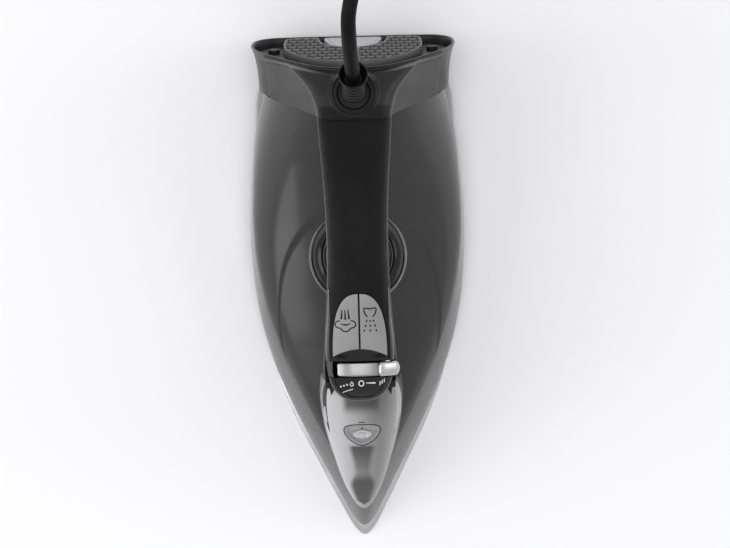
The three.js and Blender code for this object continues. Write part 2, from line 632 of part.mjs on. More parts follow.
const TAB_HALF_ANGLE = 0.245;
function makeLever() {
  const arm = box(3, 2, TRACK_RADIUS + 1, { y: LEVER_Y, z: LEVER_PIVOT_Z + TRACK_RADIUS / 2 + 0.6 });
  const hub = solid(placed(new THREE.CylinderGeometry(4, 4, 7, 18), { y: LEVER_Y, z: LEVER_PIVOT_Z }));
  const tab = arcBlock(TRACK_RADIUS + 0.5, TRACK_RADIUS + 3.4, -TAB_HALF_ANGLE, TAB_HALF_ANGLE, 9);
  const upright = arm.add(hub).add(tab);
  const shift = new THREE.Matrix4().makeTranslation(0, LEVER_Y, LEVER_PIVOT_Z)
    .multiply(new THREE.Matrix4().makeRotationY(LEVER_SWING))
    .multiply(new THREE.Matrix4().makeTranslation(0, -LEVER_Y, -LEVER_PIVOT_Z));
  add("steam_lever", solid(geometryOf(upright).applyMatrix4(shift)), MATERIAL.silver);
  const rod = post(2, LEVER_PIVOT_Z - 4.6 - 14, { y: LEVER_Y, z: 14 }, 12);
  add("steam_valve_rod", rod.add(post(1.4, 6, { y: LEVER_Y, z: 9.6 }, 12, 2)), MATERIAL.steel);
}

// ---------------------------------------------------------------- nose, filler door, nozzle
const NOSE_WALL = 2;
const NOZZLE_Y = -75.7;
const LATCH_LEAF = [-72, -61.5, 78.7, 4]; // fore, aft, middle and rise of the latch key's leaf
// A leaf outline on the side of the nose, as a prism across the iron.
function leafPrism(grow, from, to, fore = -78, aft = -45, middle = 79, rise = 11) {
  const shape = new THREE.Shape();
  const [a, b] = [fore - grow, aft + grow];
  const centre = (a + b) / 2;
  shape.moveTo(a, middle - rise * 0.55 - grow);
  shape.quadraticCurveTo(centre, middle + rise + grow * 2, b, middle + rise * 1.1 + grow);
  shape.quadraticCurveTo(b + 1, middle - rise * 0.4 - grow, a, middle - rise * 0.55 - grow);
  const options = { depth: to - from, bevelEnabled: false, curveSegments: 8 };
  const geometry = new THREE.ExtrudeGeometry(shape, options);
  geometry.rotateX(Math.PI / 2).rotateZ(Math.PI / 2).translate(from, 0, 0);
  return solid(geometry);
}

const nozzleHole = (radius, low) => post(radius, 60, { y: NOZZLE_Y, z: low }, 24);
function makeNose() {
  const skin = nose(0, NOSE_BASE).subtract(nose(NOSE_WALL, NOSE_BASE - 6));
  const rear = columnSolid(-GAP, 20, 200).add(box(100, 60, 400, { y: COLUMN_FRONT + 30 + 14 }));
  let cover = skin.subtract(rear).subtract(bezelSpace(GAP));
  cover = cover.subtract(leafPrism(0.4, 8, 60)).subtract(leafPrism(0.4, -60, -8));
  cover = cover.subtract(nozzleHole(8.4, 60));
  add("nose_cover", cover, MATERIAL.smoke);
  const clear = skin.subtract(rear).subtract(bezelSpace(GAP));
  const door = clear.intersect(leafPrism(0, 8, 60));
  add("filler_door", door, MATERIAL.smoke);
  const panel = clear.intersect(leafPrism(0, -60, -8)).subtract(leafPrism(0.4, -60, -8, ...LATCH_LEAF));
  add("latch_panel", panel, MATERIAL.panelBlack);
  add("door_latch", clear.intersect(leafPrism(0, -60, -8, ...LATCH_LEAF)), MATERIAL.silver);
}

const bezelSpace = (grow) => handleBar({ raise: grow, shrink: -grow }, HANDLE_FRONT_Y, 8)
  .subtract(belowSplit(BEZEL_DROP + grow));

function makeNozzle() {
  const crest = noseTop(NOZZLE_Y);
  const head = nose(-0.9, NOSE_BASE).intersect(nozzleHole(8, crest - 7));
  add("spray_nozzle", head, MATERIAL.silver);
  const end = [0, NOZZLE_Y, crest - 13];
  const route = [[PUMP_X, -44, 70], [PUMP_X, -52, 68], [4, -62, 66], [0, -70, 67], end];
  add("spray_tube", pipe(route, 1.8, 10, 8), MATERIAL.silicone);
}

// ---------------------------------------------------------------- temperature dial
function makeDial() {
  const side = DIAL_RADIUS - 1;
  const knob = [[0, 0], [side, 0], [side, 3], [side - 1.4, 7.6], [side - 8, 8.6], [0, 8.6]];
  const base = { y: DIAL_Y, z: DIAL_FLOOR + GAP };
  const shaftTop = DIAL_FLOOR + GAP + 3;
  const bore = post(2.7, 5, { y: DIAL_Y, z: DIAL_FLOOR - 1 }, 16);
  const body = knob.map(([r, h]) => new THREE.Vector2(r, h));
  const lathe = new THREE.LatheGeometry(body, 40).rotateX(Math.PI / 2);
  add("temperature_dial", solid(placed(lathe, base)).subtract(bore), MATERIAL.panelBlack);
  const [inner, outer] = [DIAL_RADIUS - 0.6, DIAL_RADIUS + 1.6];
  const rim = [[inner, 0], [outer, 0], [outer, 3.4], [inner, 3.4]];
  add("dial_rim", turned(rim, base, 40), MATERIAL.silver);
  add("dial_shaft", post(2.4, shaftTop - 21.6, { y: DIAL_Y, z: 21.3 }, 14), MATERIAL.steel);
}

// ---------------------------------------------------------------- heel
const COLLECTOR_LOW = 5;
const COLLECTOR_HIGH = 16;
const COLLECTOR_HALF = 13;
function heelBox(x0, x1, d0, d1, h0, h1) {
  const place = heelPlace((d0 + d1) / 2, (h0 + h1) / 2);
  return box(x1 - x0, d1 - d0, h1 - h0, { x: (x0 + x1) / 2, ...place });
}

const BOSS_RADIUS = 12.4;
const BOSS_TOP = 127.6;
const BOSS_FOOT = 95;
const PLATE_BACK = -8; // the black floor inside the rim, as depths in the heel's frame
const PLATE_FACE = -5;
const SCREW_X = 46;
const SCREW_HEIGHT = 28;

// The collar is a flared tube. The handle's end and the cord's boss stand on it.
function makeHeel() {
  const pastRim = heelBox(-90, 90, -0.2, 60, -40, 200);
  const hump = handleBar({ bottom: 88 }, 78).intersect(behindSeam(COLLAR_LENGTH)).subtract(pastRim);
  const boss = post(BOSS_RADIUS, BOSS_TOP - BOSS_FOOT, { y: GLAND_Y, z: BOSS_FOOT }, 28);
  let collar = collarSolid(0).subtract(collarSolid(3, 4)).add(hump).add(boss);
  const cordHole = post(5.4, 60, { y: GLAND_Y, z: 80 }, 18);
  const cavity = heelBox(-12, 12, -COLLAR_LENGTH - 5, PLATE_BACK, 60, 96);
  const handlePipe = heelBox(-9, 9, -COLLAR_LENGTH - 5, 2 * PLATE_BACK, 95, 112);
  collar = collar.subtract(cordHole).subtract(cavity).subtract(handlePipe);
  collar = collar.subtract(heelSlab(PLATE_BACK - GAP, 3, 2.2)).subtract(socketSpace());
  add("heel_collar", collar, MATERIAL.darkGloss);
  makeHeelPlate();
  for (const [name, side] of [["left", -1], ["right", 1]]) {
    add(`heel_pad_${name}`, padSolid(side), MATERIAL.rubber);
    add(`heel_screw_${name}`, heelScrew(side), MATERIAL.steel);
  }
}

function makeHeelPlate() {
  const half = COLLECTOR_HALF + 0.5;
  let back = heelSlab(PLATE_BACK, PLATE_FACE, 2.6);
  back = back.subtract(heelBox(-half, half, -20, 9, COLLECTOR_LOW - 0.5, COLLECTOR_HIGH + 0.5));
  for (const x of [-SCREW_X, SCREW_X]) {
    back = back.subtract(heelBox(x - 2, x + 2, -20, 9, SCREW_HEIGHT - 2, SCREW_HEIGHT + 2));
  }
  add("heel_plate", back, MATERIAL.panelBlack);
}

function heelScrew(side) {
  const place = { x: side * SCREW_X, ...heelPlace(-3.6, SCREW_HEIGHT) };
  const head = new THREE.CylinderGeometry(3.4, 3.4, 2, 14);
  const shank = new THREE.CylinderGeometry(1.5, 1.5, 9, 10).translate(0, -5, 0);
  return solid(placed(head, place)).add(solid(placed(shank, place)));
}

// A rubber foot on each half of the heel, from the plate to just past the rim.
const PAD_HALF = [
  [2.4, 88], [18, 82], [30, 68], [37, 50], [40, 34], [40, 16], [36, 7], [20.5, 6], [17.5, 24], [11, 35],
  [2.4, 40],
];
const PAD_THICK = 6.4;

function padSolid(side) {
  const shape = new THREE.Shape(PAD_HALF.map(([x, h]) => new THREE.Vector2(side * x, h)));
  const geometry = new THREE.ExtrudeGeometry(shape, { depth: PAD_THICK, bevelEnabled: false });
  geometry.rotateX(Math.PI / 2).translate(0, PAD_THICK, 0);
  return solid(placed(geometry, heelPlace(PLATE_FACE + GAP, 0)));
}

// The scale collector is a small drawer with a half-moon grip on its face.
const DRAWER_WALL = 2;
const DRAWER_BACK = -32;
const MOON_LOW = 3;
const MOON_HIGH = 37;
const MOON_HALF = 17;
const MOON_THICK = 4;

function makeCollector() {
  const half = COLLECTOR_HALF;
  const body = heelBox(-half, half, DRAWER_BACK, -4.6, COLLECTOR_LOW, COLLECTOR_HIGH);
  const [back, front] = [DRAWER_BACK + DRAWER_WALL, PLATE_BACK];
  const hollow = heelBox(-half + DRAWER_WALL, half - DRAWER_WALL, back, front, COLLECTOR_LOW + DRAWER_WALL, 40);
  add("scale_collector", body.subtract(hollow), MATERIAL.innerPlastic);
  add("collector_handle", halfMoon(), MATERIAL.silver);
  const [sealBack, sealFront] = [DRAWER_BACK - 3, DRAWER_BACK - GAP];
  const seal = heelBox(-half + 0.5, half - 0.5, sealBack, sealFront, COLLECTOR_LOW + 1, COLLECTOR_HIGH - 1);
  add("collector_seal", seal, MATERIAL.silicone);
}

function halfMoon() {
  const shape = new THREE.Shape();
  shape.moveTo(-MOON_HALF, MOON_LOW);
  shape.lineTo(MOON_HALF, MOON_LOW);
  shape.bezierCurveTo(15, 30, 8, MOON_HIGH, 0, MOON_HIGH);
  shape.bezierCurveTo(-8, MOON_HIGH, -15, 30, -MOON_HALF, MOON_LOW);
  const options = { depth: MOON_THICK, bevelEnabled: false, curveSegments: 8 };
  const geometry = new THREE.ExtrudeGeometry(shape, options);
  geometry.rotateX(Math.PI / 2).translate(0, MOON_THICK, 0);
  return solid(placed(geometry, heelPlace(-4.3, 0)));
}

// ---------------------------------------------------------------- cord entry
const BOOT_BASE_Z = BOSS_TOP + 1;
const BOOT_LENGTH = 24;
const BOOT_RIBS = 5;
const RIB_PITCH = 4.1;
const socketSpace = () => post(8.6, 30, { y: GLAND_Y, z: BOSS_TOP - 5 }, 24);

// The boot's outline from its base up, as radius and height: ribs, a bell, and the bell's hollow.
function bootProfile() {
  const profile = [[0, 0]];
  for (let i = 0; i < BOOT_RIBS; i++) {
    const h = 1.6 + i * RIB_PITCH;
    const r = 7.6 - i * 0.42;
    profile.push([r - 1.1, h - 1.4], [r, h], [r, h + 1.8], [r - 1.1, h + 2.4]);
  }
  profile.push([8.4, BOOT_LENGTH], [4.5, BOOT_LENGTH], [4.4, BOOT_LENGTH - 3], [0, BOOT_LENGTH - 3]);
  return profile.map(([r, h]) => new THREE.Vector2(r, h));
}

function makeCordEntry() {
  const ring = [[6.2, 0], [BOSS_RADIUS - 0.6, 0], [BOSS_RADIUS - 2, 2], [6.2, 2]];
  add("cord_socket", turned(ring, { y: GLAND_Y, z: BOSS_TOP + GAP }, 28), MATERIAL.panelBlack);
  const neck = post(5.8, 7.2, { y: GLAND_Y, z: BOSS_TOP - 4.4 }, 20);
  const cone = new THREE.LatheGeometry(bootProfile(), 20).rotateX(Math.PI / 2);
  const leaning = solid(placed(cone, { y: GLAND_Y, z: BOOT_BASE_Z + 1.6, tilt: -BOOT_LEAN }));
  const aboveRing = post(8.6, 30, { y: GLAND_Y, z: BOSS_TOP + 2.7 }, 24);
  const behindRing = box(60, 60, 60, { y: GLAND_Y + 20, z: BOSS_TOP + 32.8 });
  const boot = neck.add(leaning.intersect(aboveRing.add(behindRing)));
  add("cord_boot", boot, MATERIAL.softBlack);
}

// Inside the heel: a clamp on the cord, the terminals, and two wires down to the element's ends.
const WIRE_RADIUS = 1.3;
const WIRE_ROUTE = [[8, 121, 45.4], [12, 112, 38], [20, 104, 28], [22, 96, 19], [22, 91, 17.6]];

function makeWiring() {
  add("cord_clamp", heelBox(-8, 8, -20, -12, 66, 71), MATERIAL.innerPlastic);
  add("terminal_block", heelBox(-11, 11, -24, -14, 44, 58), MATERIAL.innerPlastic);
  for (const [name, side] of [["left", -1], ["right", 1]]) {
    const route = WIRE_ROUTE.map(([x, y, z]) => [side * x, y, z]);
    add(`heater_wire_${name}`, pipe(route, WIRE_RADIUS, 10, 8), MATERIAL.silicone);
  }
}

function makeSoleScrews() {
  for (const [name, [x, y]] of Object.entries(SCREW_PLACES)) {
    const shank = post(1.8, 9, { x, y, z: SOLE_TOP + GAP }, 10);
    const head = post(3.2, 2, { x, y, z: SOLE_TOP + 7 }, 12);
    add(`sole_screw_${name}`, shank.add(head), MATERIAL.steel);
  }
}

// ---------------------------------------------------------------- cord, coil and plug
// The cord from the boot's mouth over the heel, down to the floor and into the coil, as [x, y, z].
const CORD_ROUTE = [
  [0, 124.7, 149.7], [0, 129.4, 160.3], [0.2, 134.6, 171.3], [1, 144, 183.6], [2.6, 157.3, 191.9],
  [5, 173, 193.6], [8, 188, 188.7], [12, 199.7, 178.1], [16, 207, 163.7], [20.5, 212.4, 146],
  [25.5, 216.4, 126], [30.5, 219.4, 105], [35.5, 221.8, 84], [40.5, 224, 63], [45, 227, 44],
  [48.6, 232.4, 26.4], [50.8, 241.5, 12.6], [51.8, 254, 5.6], [52, 263, 4.4], [52, 270, 4.3],
];
const COIL_MIDDLE = 44; // radius of the middle turn; three turns lie side by side in each of two layers
const COIL_TURNS = 3;
const PLUG_X = COIL_MIDDLE + 2 * CORD_RADIUS; // the cord leaves the coil's outer turn straight
const PLUG_Y = COIL_Y + 112; // the plug's face
const PLUG_Z = 19.2; // it lies on its widest ring
const PLUG_PROFILE = [
  [0, 0], [18.4, 0], [18.8, 3], [18.8, 9], [15, 16], [9.6, 24], [7, 34], [5.4, 44], [4.4, 50], [0, 50],
];
const PIN_RADIUS = 2.4;
const PIN_LENGTH = 19;
const PIN_OFFSET = 9.5; // from the plug's axis
// The cord from the coil up to the plug, as [distance past the coil's middle, height].
const TAIL_ROUTE = [[30.4, 12.3], [38, 13.4], [46, 15.8], [54, 18.4], [61.6, PLUG_Z]];

function makeCord() {
  add("cord_lead", pipe(CORD_ROUTE, CORD_RADIUS, 30, 8), MATERIAL.softBlack);
  const half = COIL_TURNS * CORD_RADIUS;
  const coil = tube(COIL_MIDDLE + half, COIL_MIDDLE - half, 4 * CORD_RADIUS, { y: COIL_Y, z: GAP }, 40);
  add("cord_coil", coil, MATERIAL.softBlack);
  const tail = TAIL_ROUTE.map(([past, z]) => [PLUG_X, COIL_Y + past, z]);
  add("cord_tail", pipe(tail, CORD_RADIUS, 5, 8), MATERIAL.softBlack);
}

function makePlug() {
  const profile = PLUG_PROFILE.map(([r, h]) => new THREE.Vector2(r, h));
  const lathe = new THREE.LatheGeometry(profile, 28).rotateX(Math.PI);
  add("plug_body", solid(placed(lathe, { x: PLUG_X, y: PLUG_Y, z: PLUG_Z })), MATERIAL.softBlack);
  const y = PLUG_Y + PIN_LENGTH / 2 + GAP;
  for (const [name, side] of [["left", -1], ["right", 1]]) {
    const pin = new THREE.CylinderGeometry(PIN_RADIUS, PIN_RADIUS, PIN_LENGTH, 14);
    const place = { x: PLUG_X + side * PIN_OFFSET, y, z: PLUG_Z };
    add(`plug_pin_${name}`, solid(placed(pin, place)), MATERIAL.brass);
  }
}

makeSole();
makeSoleScrews();
makeSkirt();
makeShell();
makeTank();
makeHandle();
makeButtons();
makeBezel();
makeLever();
makeNose();
makeNozzle();
makeDial();
makeHeel();
makeCollector();
makeCordEntry();
makeWiring();
makeCord();
makePlug();

export default iron;
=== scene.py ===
# %% [markdown]
# A steam iron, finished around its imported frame.
# The frame holds the true sizes, the moving bodies and their joints. Each cell below makes one
# piece of the iron again as a fine surface, lays it where the frame says, and lets it ride on the
# body that it belongs to. Shapes are written in millimetres, as on a drawing, and turned into
# metres in one place, when a mesh is filled.

# %% load the frame
import math

import bmesh
import bpy
import numpy as np
from mathutils import Matrix, Vector
from mathutils.geometry import delaunay_2d_cdt


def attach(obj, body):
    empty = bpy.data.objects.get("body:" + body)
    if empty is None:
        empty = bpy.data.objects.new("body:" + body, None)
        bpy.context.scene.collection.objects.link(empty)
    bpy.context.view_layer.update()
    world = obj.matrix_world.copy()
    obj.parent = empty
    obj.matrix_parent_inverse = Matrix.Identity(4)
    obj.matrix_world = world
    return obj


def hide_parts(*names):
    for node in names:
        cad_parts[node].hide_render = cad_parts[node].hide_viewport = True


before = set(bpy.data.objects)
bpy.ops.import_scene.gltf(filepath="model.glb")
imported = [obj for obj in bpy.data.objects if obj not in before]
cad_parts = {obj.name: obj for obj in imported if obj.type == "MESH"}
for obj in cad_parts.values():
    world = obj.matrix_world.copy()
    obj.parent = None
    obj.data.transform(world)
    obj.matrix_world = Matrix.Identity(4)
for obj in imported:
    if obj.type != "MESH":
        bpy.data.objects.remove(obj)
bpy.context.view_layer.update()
MM = 0.001

# %% [markdown]
# The camera hangs about a metre and a half above the iron and a little behind it, with a long
# lens, so the soleplate and the handle are nearly the same size. It is turned by a degree or so.

# %% camera
CAMERA_AT = Vector((3.8, 115.0, 1500.0)) * MM
CAMERA_AIM = Vector((3.8, 7.5, 0.0)) * MM
CAMERA_ROLL = math.radians(1.4)
LENS_MM = 123.5


def make_camera():
    """Looks from CAMERA_AT to CAMERA_AIM with the heel at the top, then turns about its own line
    of sight."""
    data = bpy.data.cameras.new("camera")
    data.lens = LENS_MM
    data.clip_end = 20
    camera = bpy.data.objects.new("camera", data)
    bpy.context.scene.collection.objects.link(camera)
    look = (CAMERA_AIM - CAMERA_AT).normalized()
    side = look.cross(Vector((0, 1, 0))).normalized()
    facing = Matrix((side, side.cross(look), -look)).transposed().to_4x4()
    camera.matrix_world = Matrix.Translation(CAMERA_AT) @ facing @ Matrix.Rotation(-CAMERA_ROLL, 4, "Z")
    bpy.context.scene.camera = camera
    return camera


camera = make_camera()

# %% [markdown]
# Three small tools carry every shape. A smooth function runs through a few stations, a closed
# outline runs through a few corners, and a sheet of points becomes a mesh.


# %% shape tools
def through(stations):
    """Cubic pieces through [place, value] pairs. The slope at a pair is the one from the pair
    before it to the pair after it, and the value stays level beyond both ends."""
    at, value = np.array(stations, float).T
    before, after = np.r_[0, np.arange(len(at) - 1)], np.r_[np.arange(1, len(at)), len(at) - 1]
    slope = (value[after] - value[before]) / (at[after] - at[before])

    def curve(x):
        x = np.clip(np.asarray(x, float), at[0], at[-1])
        k = np.clip(np.searchsorted(at, x, side="right") - 1, 0, len(at) - 2)
        span, rise = at[k + 1] - at[k], value[k + 1] - value[k]
        t = (x - at[k]) / span
        bend = (1 - t) * (slope[k] * span - rise) - t * (slope[k + 1] * span - rise)
        return value[k] + rise * t + t * (1 - t) * bend

    return curve


def closed_outline(half, count):
    """A closed plan outline from its right half: the half and its mirror image are joined, and a
    centripetal Catmull-Rom curve through the corners is sampled at equal steps of length."""
    half = np.array(half, float)
    corners = np.vstack([half, half[-2:0:-1] * [-1, 1]])
    n = len(corners)
    p0, p1, p2, p3 = (corners[(np.arange(n) + s) % n][:, None] for s in (-1, 0, 1, 2))
    knot = lambda a, b: np.sqrt(np.linalg.norm(b - a, axis=-1, keepdims=True))
    d1, d2, d3 = knot(p0, p1), knot(p1, p2), knot(p2, p3)
    t = np.linspace(0, 1, 40, endpoint=False)[None, :, None]
    m1 = (p2 - p1) + d2 * ((p1 - p0) / d1 - (p2 - p0) / (d1 + d2))
    m2 = (p2 - p1) + d2 * ((p3 - p2) / d3 - (p3 - p1) / (d2 + d3))
    line = (2 * t**3 - 3 * t**2 + 1) * p1 + (t**3 - 2 * t**2 + t) * m1
    line = line + (3 * t**2 - 2 * t**3) * p2 + (t**3 - t**2) * m2
    line = line.reshape(-1, 2)
    length = np.r_[0, np.cumsum(np.linalg.norm(np.diff(np.vstack([line, line[:1]]), axis=0), axis=1))]
    want = np.linspace(0, length[-1], count, endpoint=False)
    ring = np.vstack([line, line[:1]])
    return np.stack([np.interp(want, length, ring[:, k]) for k in (0, 1)], axis=1)


def drawn_in(outline, distance):
    """The outline moved inwards by a distance along its own normals."""
    along = np.roll(outline, -1, axis=0) - np.roll(outline, 1, axis=0)
    along = along / np.linalg.norm(along, axis=1, keepdims=True)
    return outline + np.stack([-along[:, 1], along[:, 0]], axis=1) * distance


def fill_mesh(name, points, faces):
    """A mesh object from points in millimetres, which turn into metres here."""
    mesh = bpy.data.meshes.new(name)
    mesh.from_pydata((np.asarray(points) * MM).tolist(), [], faces)
    mesh.validate()
    mesh.update()
    piece = bpy.data.objects.new(name, mesh)
    bpy.context.scene.collection.objects.link(piece)
    return piece


def sheet_faces(rows, columns, around, across=False):
    """Four-sided faces between neighbouring points of a rows by columns sheet."""
    r = np.arange(rows if across else rows - 1)[:, None]
    c = np.arange(columns if around else columns - 1)[None, :]
    r1, c1 = (r + 1) % rows, (c + 1) % columns
    corners = np.broadcast_arrays(r * columns + c, r * columns + c1, r1 * columns + c1, r1 * columns + c)
    return np.stack(corners, -1).reshape(-1, 4)


def point_outwards(piece):
    """Recalculates a closed mesh's normals, so that every face points out."""

    work = bmesh.new()
    work.from_mesh(piece.data)
    bmesh.ops.remove_doubles(work, verts=work.verts, dist=1e-7)
    bmesh.ops.recalc_face_normals(work, faces=work.faces)
    work.to_mesh(piece.data)
    work.free()
    return piece


def smooth(piece, crease=38):
    """Smooth shading that breaks where two faces meet at more than the crease angle."""
    mesh = piece.data
    mesh.polygons.foreach_set("use_smooth", np.ones(len(mesh.polygons), bool))
    mesh.set_sharp_from_angle(angle=math.radians(crease))
    return piece


def sheet(name, points, around=True, across=False, caps=True, crease=38):
    """A mesh from a rows by columns sheet of points, closed around its columns, and shut at its
    first and last row by a fan to the row's middle."""
    rows, columns = points.shape[:2]
    faces = sheet_faces(rows, columns, around, across).tolist()
    flat = points.reshape(-1, 3)
    if caps and not across:
        middles = np.stack([points[0].mean(axis=0), points[-1].mean(axis=0)])
        flat = np.vstack([flat, middles])
        i = np.arange(columns)
        j = (i + 1) % columns
        last = (rows - 1) * columns
        faces += np.stack([np.full(columns, len(flat) - 2), j, i], 1).tolist()
        faces += np.stack([np.full(columns, len(flat) - 1), last + i, last + j], 1).tolist()
    return smooth(point_outwards(fill_mesh(name, flat, faces)), crease)


def turned(name, profile, centre, tilt=0.0, steps=64, crease=38):
    """A profile of [radius, height] corners turned about an upright axis, then leaned about X."""
    profile = np.array(profile, float)
    angle = np.linspace(0, 2 * np.pi, steps, endpoint=False)
    r, h = profile[:, 0][:, None], profile[:, 1][:, None]
    points = np.stack([r * np.cos(angle), r * np.sin(angle), np.broadcast_to(h, (len(profile), steps))], -1)
    closed = np.allclose(profile[0], profile[-1])
    points = leaned(points[:-1] if closed else points, tilt) + np.array(centre)
    return sheet(name, points, across=closed, caps=not closed, crease=crease)


def leaned(points, tilt):
    """Points turned about the X axis."""
    c, s = math.cos(tilt), math.sin(tilt)
    return points @ np.array([[1, 0, 0], [0, c, s], [0, -s, c]])


def boolean(piece, other, operation="DIFFERENCE", crease=38):
    """Cuts or joins one closed mesh with another, and drops the other."""
    cut = piece.modifiers.new("cut", "BOOLEAN")
    cut.object, cut.operation, cut.solver = other, operation, "EXACT"
    bpy.context.view_layer.update()
    done = bpy.data.meshes.new_from_object(piece.evaluated_get(bpy.context.evaluated_depsgraph_get()))
    piece.modifiers.remove(cut)
    piece.data = done
    bpy.data.objects.remove(other)
    return smooth(piece, crease)

# %% [markdown]
# An effect that many finishes share is a node group, built once. The first gives plain moulded or
# rolled surfaces their life: two close tones that drift in broad patches, a roughness that drifts
# with finger marks, and a very fine grain for the bump. The second adds edges rubbed a little
# lighter, found by how a bevelled normal differs from the true one.


# %% node groups
def new_group(name, inputs, outputs):
    """An empty shader group with named sockets; each input is (name, kind, default)."""
    group = bpy.data.node_groups.new(name, "ShaderNodeTree")
    for label, kind, value in inputs:
        socket = group.interface.new_socket(label, in_out="INPUT", socket_type=kind)
        socket.default_value = value
    for label, kind in outputs:
        group.interface.new_socket(label, in_out="OUTPUT", socket_type=kind)
    add = Adder(group)
    return group, add, add("NodeGroupInput"), add("NodeGroupOutput")


class Adder:
    """Adds nodes to a tree. Keyword values are properties; a dict sets or links inputs."""

    def __init__(self, tree):
        self.tree = tree

    def __call__(self, kind, inputs=None, **properties):
        node = self.tree.nodes.new(kind if "Node" in kind[:4] else "ShaderNode" + kind)
        for key, value in properties.items():
            setattr(node, key, value)
        for key, value in (inputs or {}).items():
            if isinstance(value, bpy.types.NodeSocket):
                self.tree.links.new(value, node.inputs[key])
            else:
                node.inputs[key].default_value = value
        return node

    def math(self, operation, a, b=0.0, clamp=False):
        return self("Math", {0: a, 1: b}, operation=operation, use_clamp=clamp).outputs[0]

    def mix(self, factor, a, b):
        return self("Mix", {0: factor, 6: a, 7: b}, data_type="RGBA").outputs[2]

    def ramp(self, value, low, high, to_low=0.0, to_high=1.0):
        node = self("MapRange", {0: value, 1: low, 2: high, 3: to_low, 4: to_high}, clamp=True)
        return node.outputs[0]


def make_drift_group():
    """Tone and roughness that drift over a surface, with a fine grain for the bump."""
    inputs = [
        ("Tone", "NodeSocketColor", (0.1, 0.1, 0.1, 1)),
        ("Second Tone", "NodeSocketColor", (0.12, 0.12, 0.12, 1)),
        ("Patch Size", "NodeSocketFloat", 0.04),
        ("Grain Size", "NodeSocketFloat", 0.0006),
        ("Smoothest", "NodeSocketFloat", 0.2),
        ("Roughest", "NodeSocketFloat", 0.3),
    ]
    outputs = [("Color", "NodeSocketColor"), ("Roughness", "NodeSocketFloat"), ("Grain", "NodeSocketFloat")]
    group, add, given, result = new_group("drifting finish", inputs, outputs)
    place = add("TexCoord").outputs["Object"]
    patch_scale = add.math("DIVIDE", 1.0, given.outputs["Patch Size"])
    grain_scale = add.math("DIVIDE", 1.0, given.outputs["Grain Size"])
    patches = add("TexNoise", {"Vector": place, "Scale": patch_scale, "Detail": 3.0}).outputs[0]
    marks_scale = add.math("MULTIPLY", patch_scale, 2.7)
    marks = add("TexNoise", {"Vector": place, "Scale": marks_scale, "Detail": 5.0,
                             "Distortion": 0.6}).outputs[0]
    grain = add("TexNoise", {"Vector": place, "Scale": grain_scale, "Detail": 2.0}).outputs[0]
    tone = add.mix(add.ramp(patches, 0.35, 0.65), given.outputs["Tone"], given.outputs["Second Tone"])
    rough = add("MapRange", {0: marks, 1: 0.36, 2: 0.66, 3: given.outputs["Smoothest"],
                             4: given.outputs["Roughest"]})
    add.tree.links.new(tone, result.inputs["Color"])
    add.tree.links.new(rough.outputs[0], result.inputs["Roughness"])
    add.tree.links.new(grain, result.inputs["Grain"])
    return group


def make_wear_group():
    """Lightens a colour where an edge is rubbed: a bevelled normal turns away from the true one."""
    inputs = [
        ("Color", "NodeSocketColor", (0.1, 0.1, 0.1, 1)),
        ("Rubbed Color", "NodeSocketColor", (0.3, 0.3, 0.3, 1)),
        ("Width", "NodeSocketFloat", 0.0006),
        ("Amount", "NodeSocketFloat", 0.5),
    ]
    outputs = [("Color", "NodeSocketColor"), ("Mask", "NodeSocketFloat")]
    group, add, given, result = new_group("rubbed edges", inputs, outputs)
    soft = add("Bevel", {"Radius": given.outputs["Width"]}, samples=4).outputs[0]
    true = add("NewGeometry").outputs["Normal"]
    facing = add("VectorMath", {0: soft, 1: true}, operation="DOT_PRODUCT").outputs["Value"]
    place = add("TexCoord").outputs["Object"]
    patches = add("TexNoise", {"Vector": place, "Scale": 160.0, "Detail": 3.0}).outputs[0]
    edge = add.ramp(facing, 0.99, 0.86)
    worn = add.math("MULTIPLY", edge, add.ramp(patches, 0.35, 0.6, 0.35, 1.0))
    mask = add.math("MULTIPLY", worn, given.outputs["Amount"], clamp=True)
    colour = add.mix(mask, given.outputs["Color"], given.outputs["Rubbed Color"])
    add.tree.links.new(colour, result.inputs["Color"])
    add.tree.links.new(mask, result.inputs["Mask"])
    return group


def make_net_group():
    """Raised diamonds: two families of slanting lines cross, each a narrow tent of its distance to
    the nearest line. The net is the higher of the two."""
    group, add, _, result = new_group("diamond net", [], [("Height", "NodeSocketFloat")])
    split = add("SeparateXYZ", {0: add("TexCoord").outputs["Object"]})
    across = add.math("MULTIPLY", split.outputs[0], 1 / 0.0024)
    along = add.math("MULTIPLY", split.outputs[1], 1 / 0.004)
    ridges = []
    for operation in ("ADD", "SUBTRACT"):
        place = add.math("FRACT", add.math(operation, across, along))
        off = add.math("ABSOLUTE", add.math("SUBTRACT", place, 0.5))
        ridges.append(add.ramp(off, 0.36, 0.47))
    net = add.math("MAXIMUM", *ridges)
    add.tree.links.new(net, result.inputs["Height"])
    return group


DRIFT = make_drift_group()
WEAR = make_wear_group()
NET = make_net_group()
print("node groups:", DRIFT.name + ",", WEAR.name, "and", NET.name)

# %% [markdown]
# Each finish is one Principled shader. Numbers that are the same all over sit on the shader; what
# changes over the surface comes from the groups. The grain is pressed in as a shallow bump.


# %% finishes
def grey(value, alpha=1.0):
    """A neutral tone with a trace of blue."""
    return (value, value, value * 1.015, alpha)


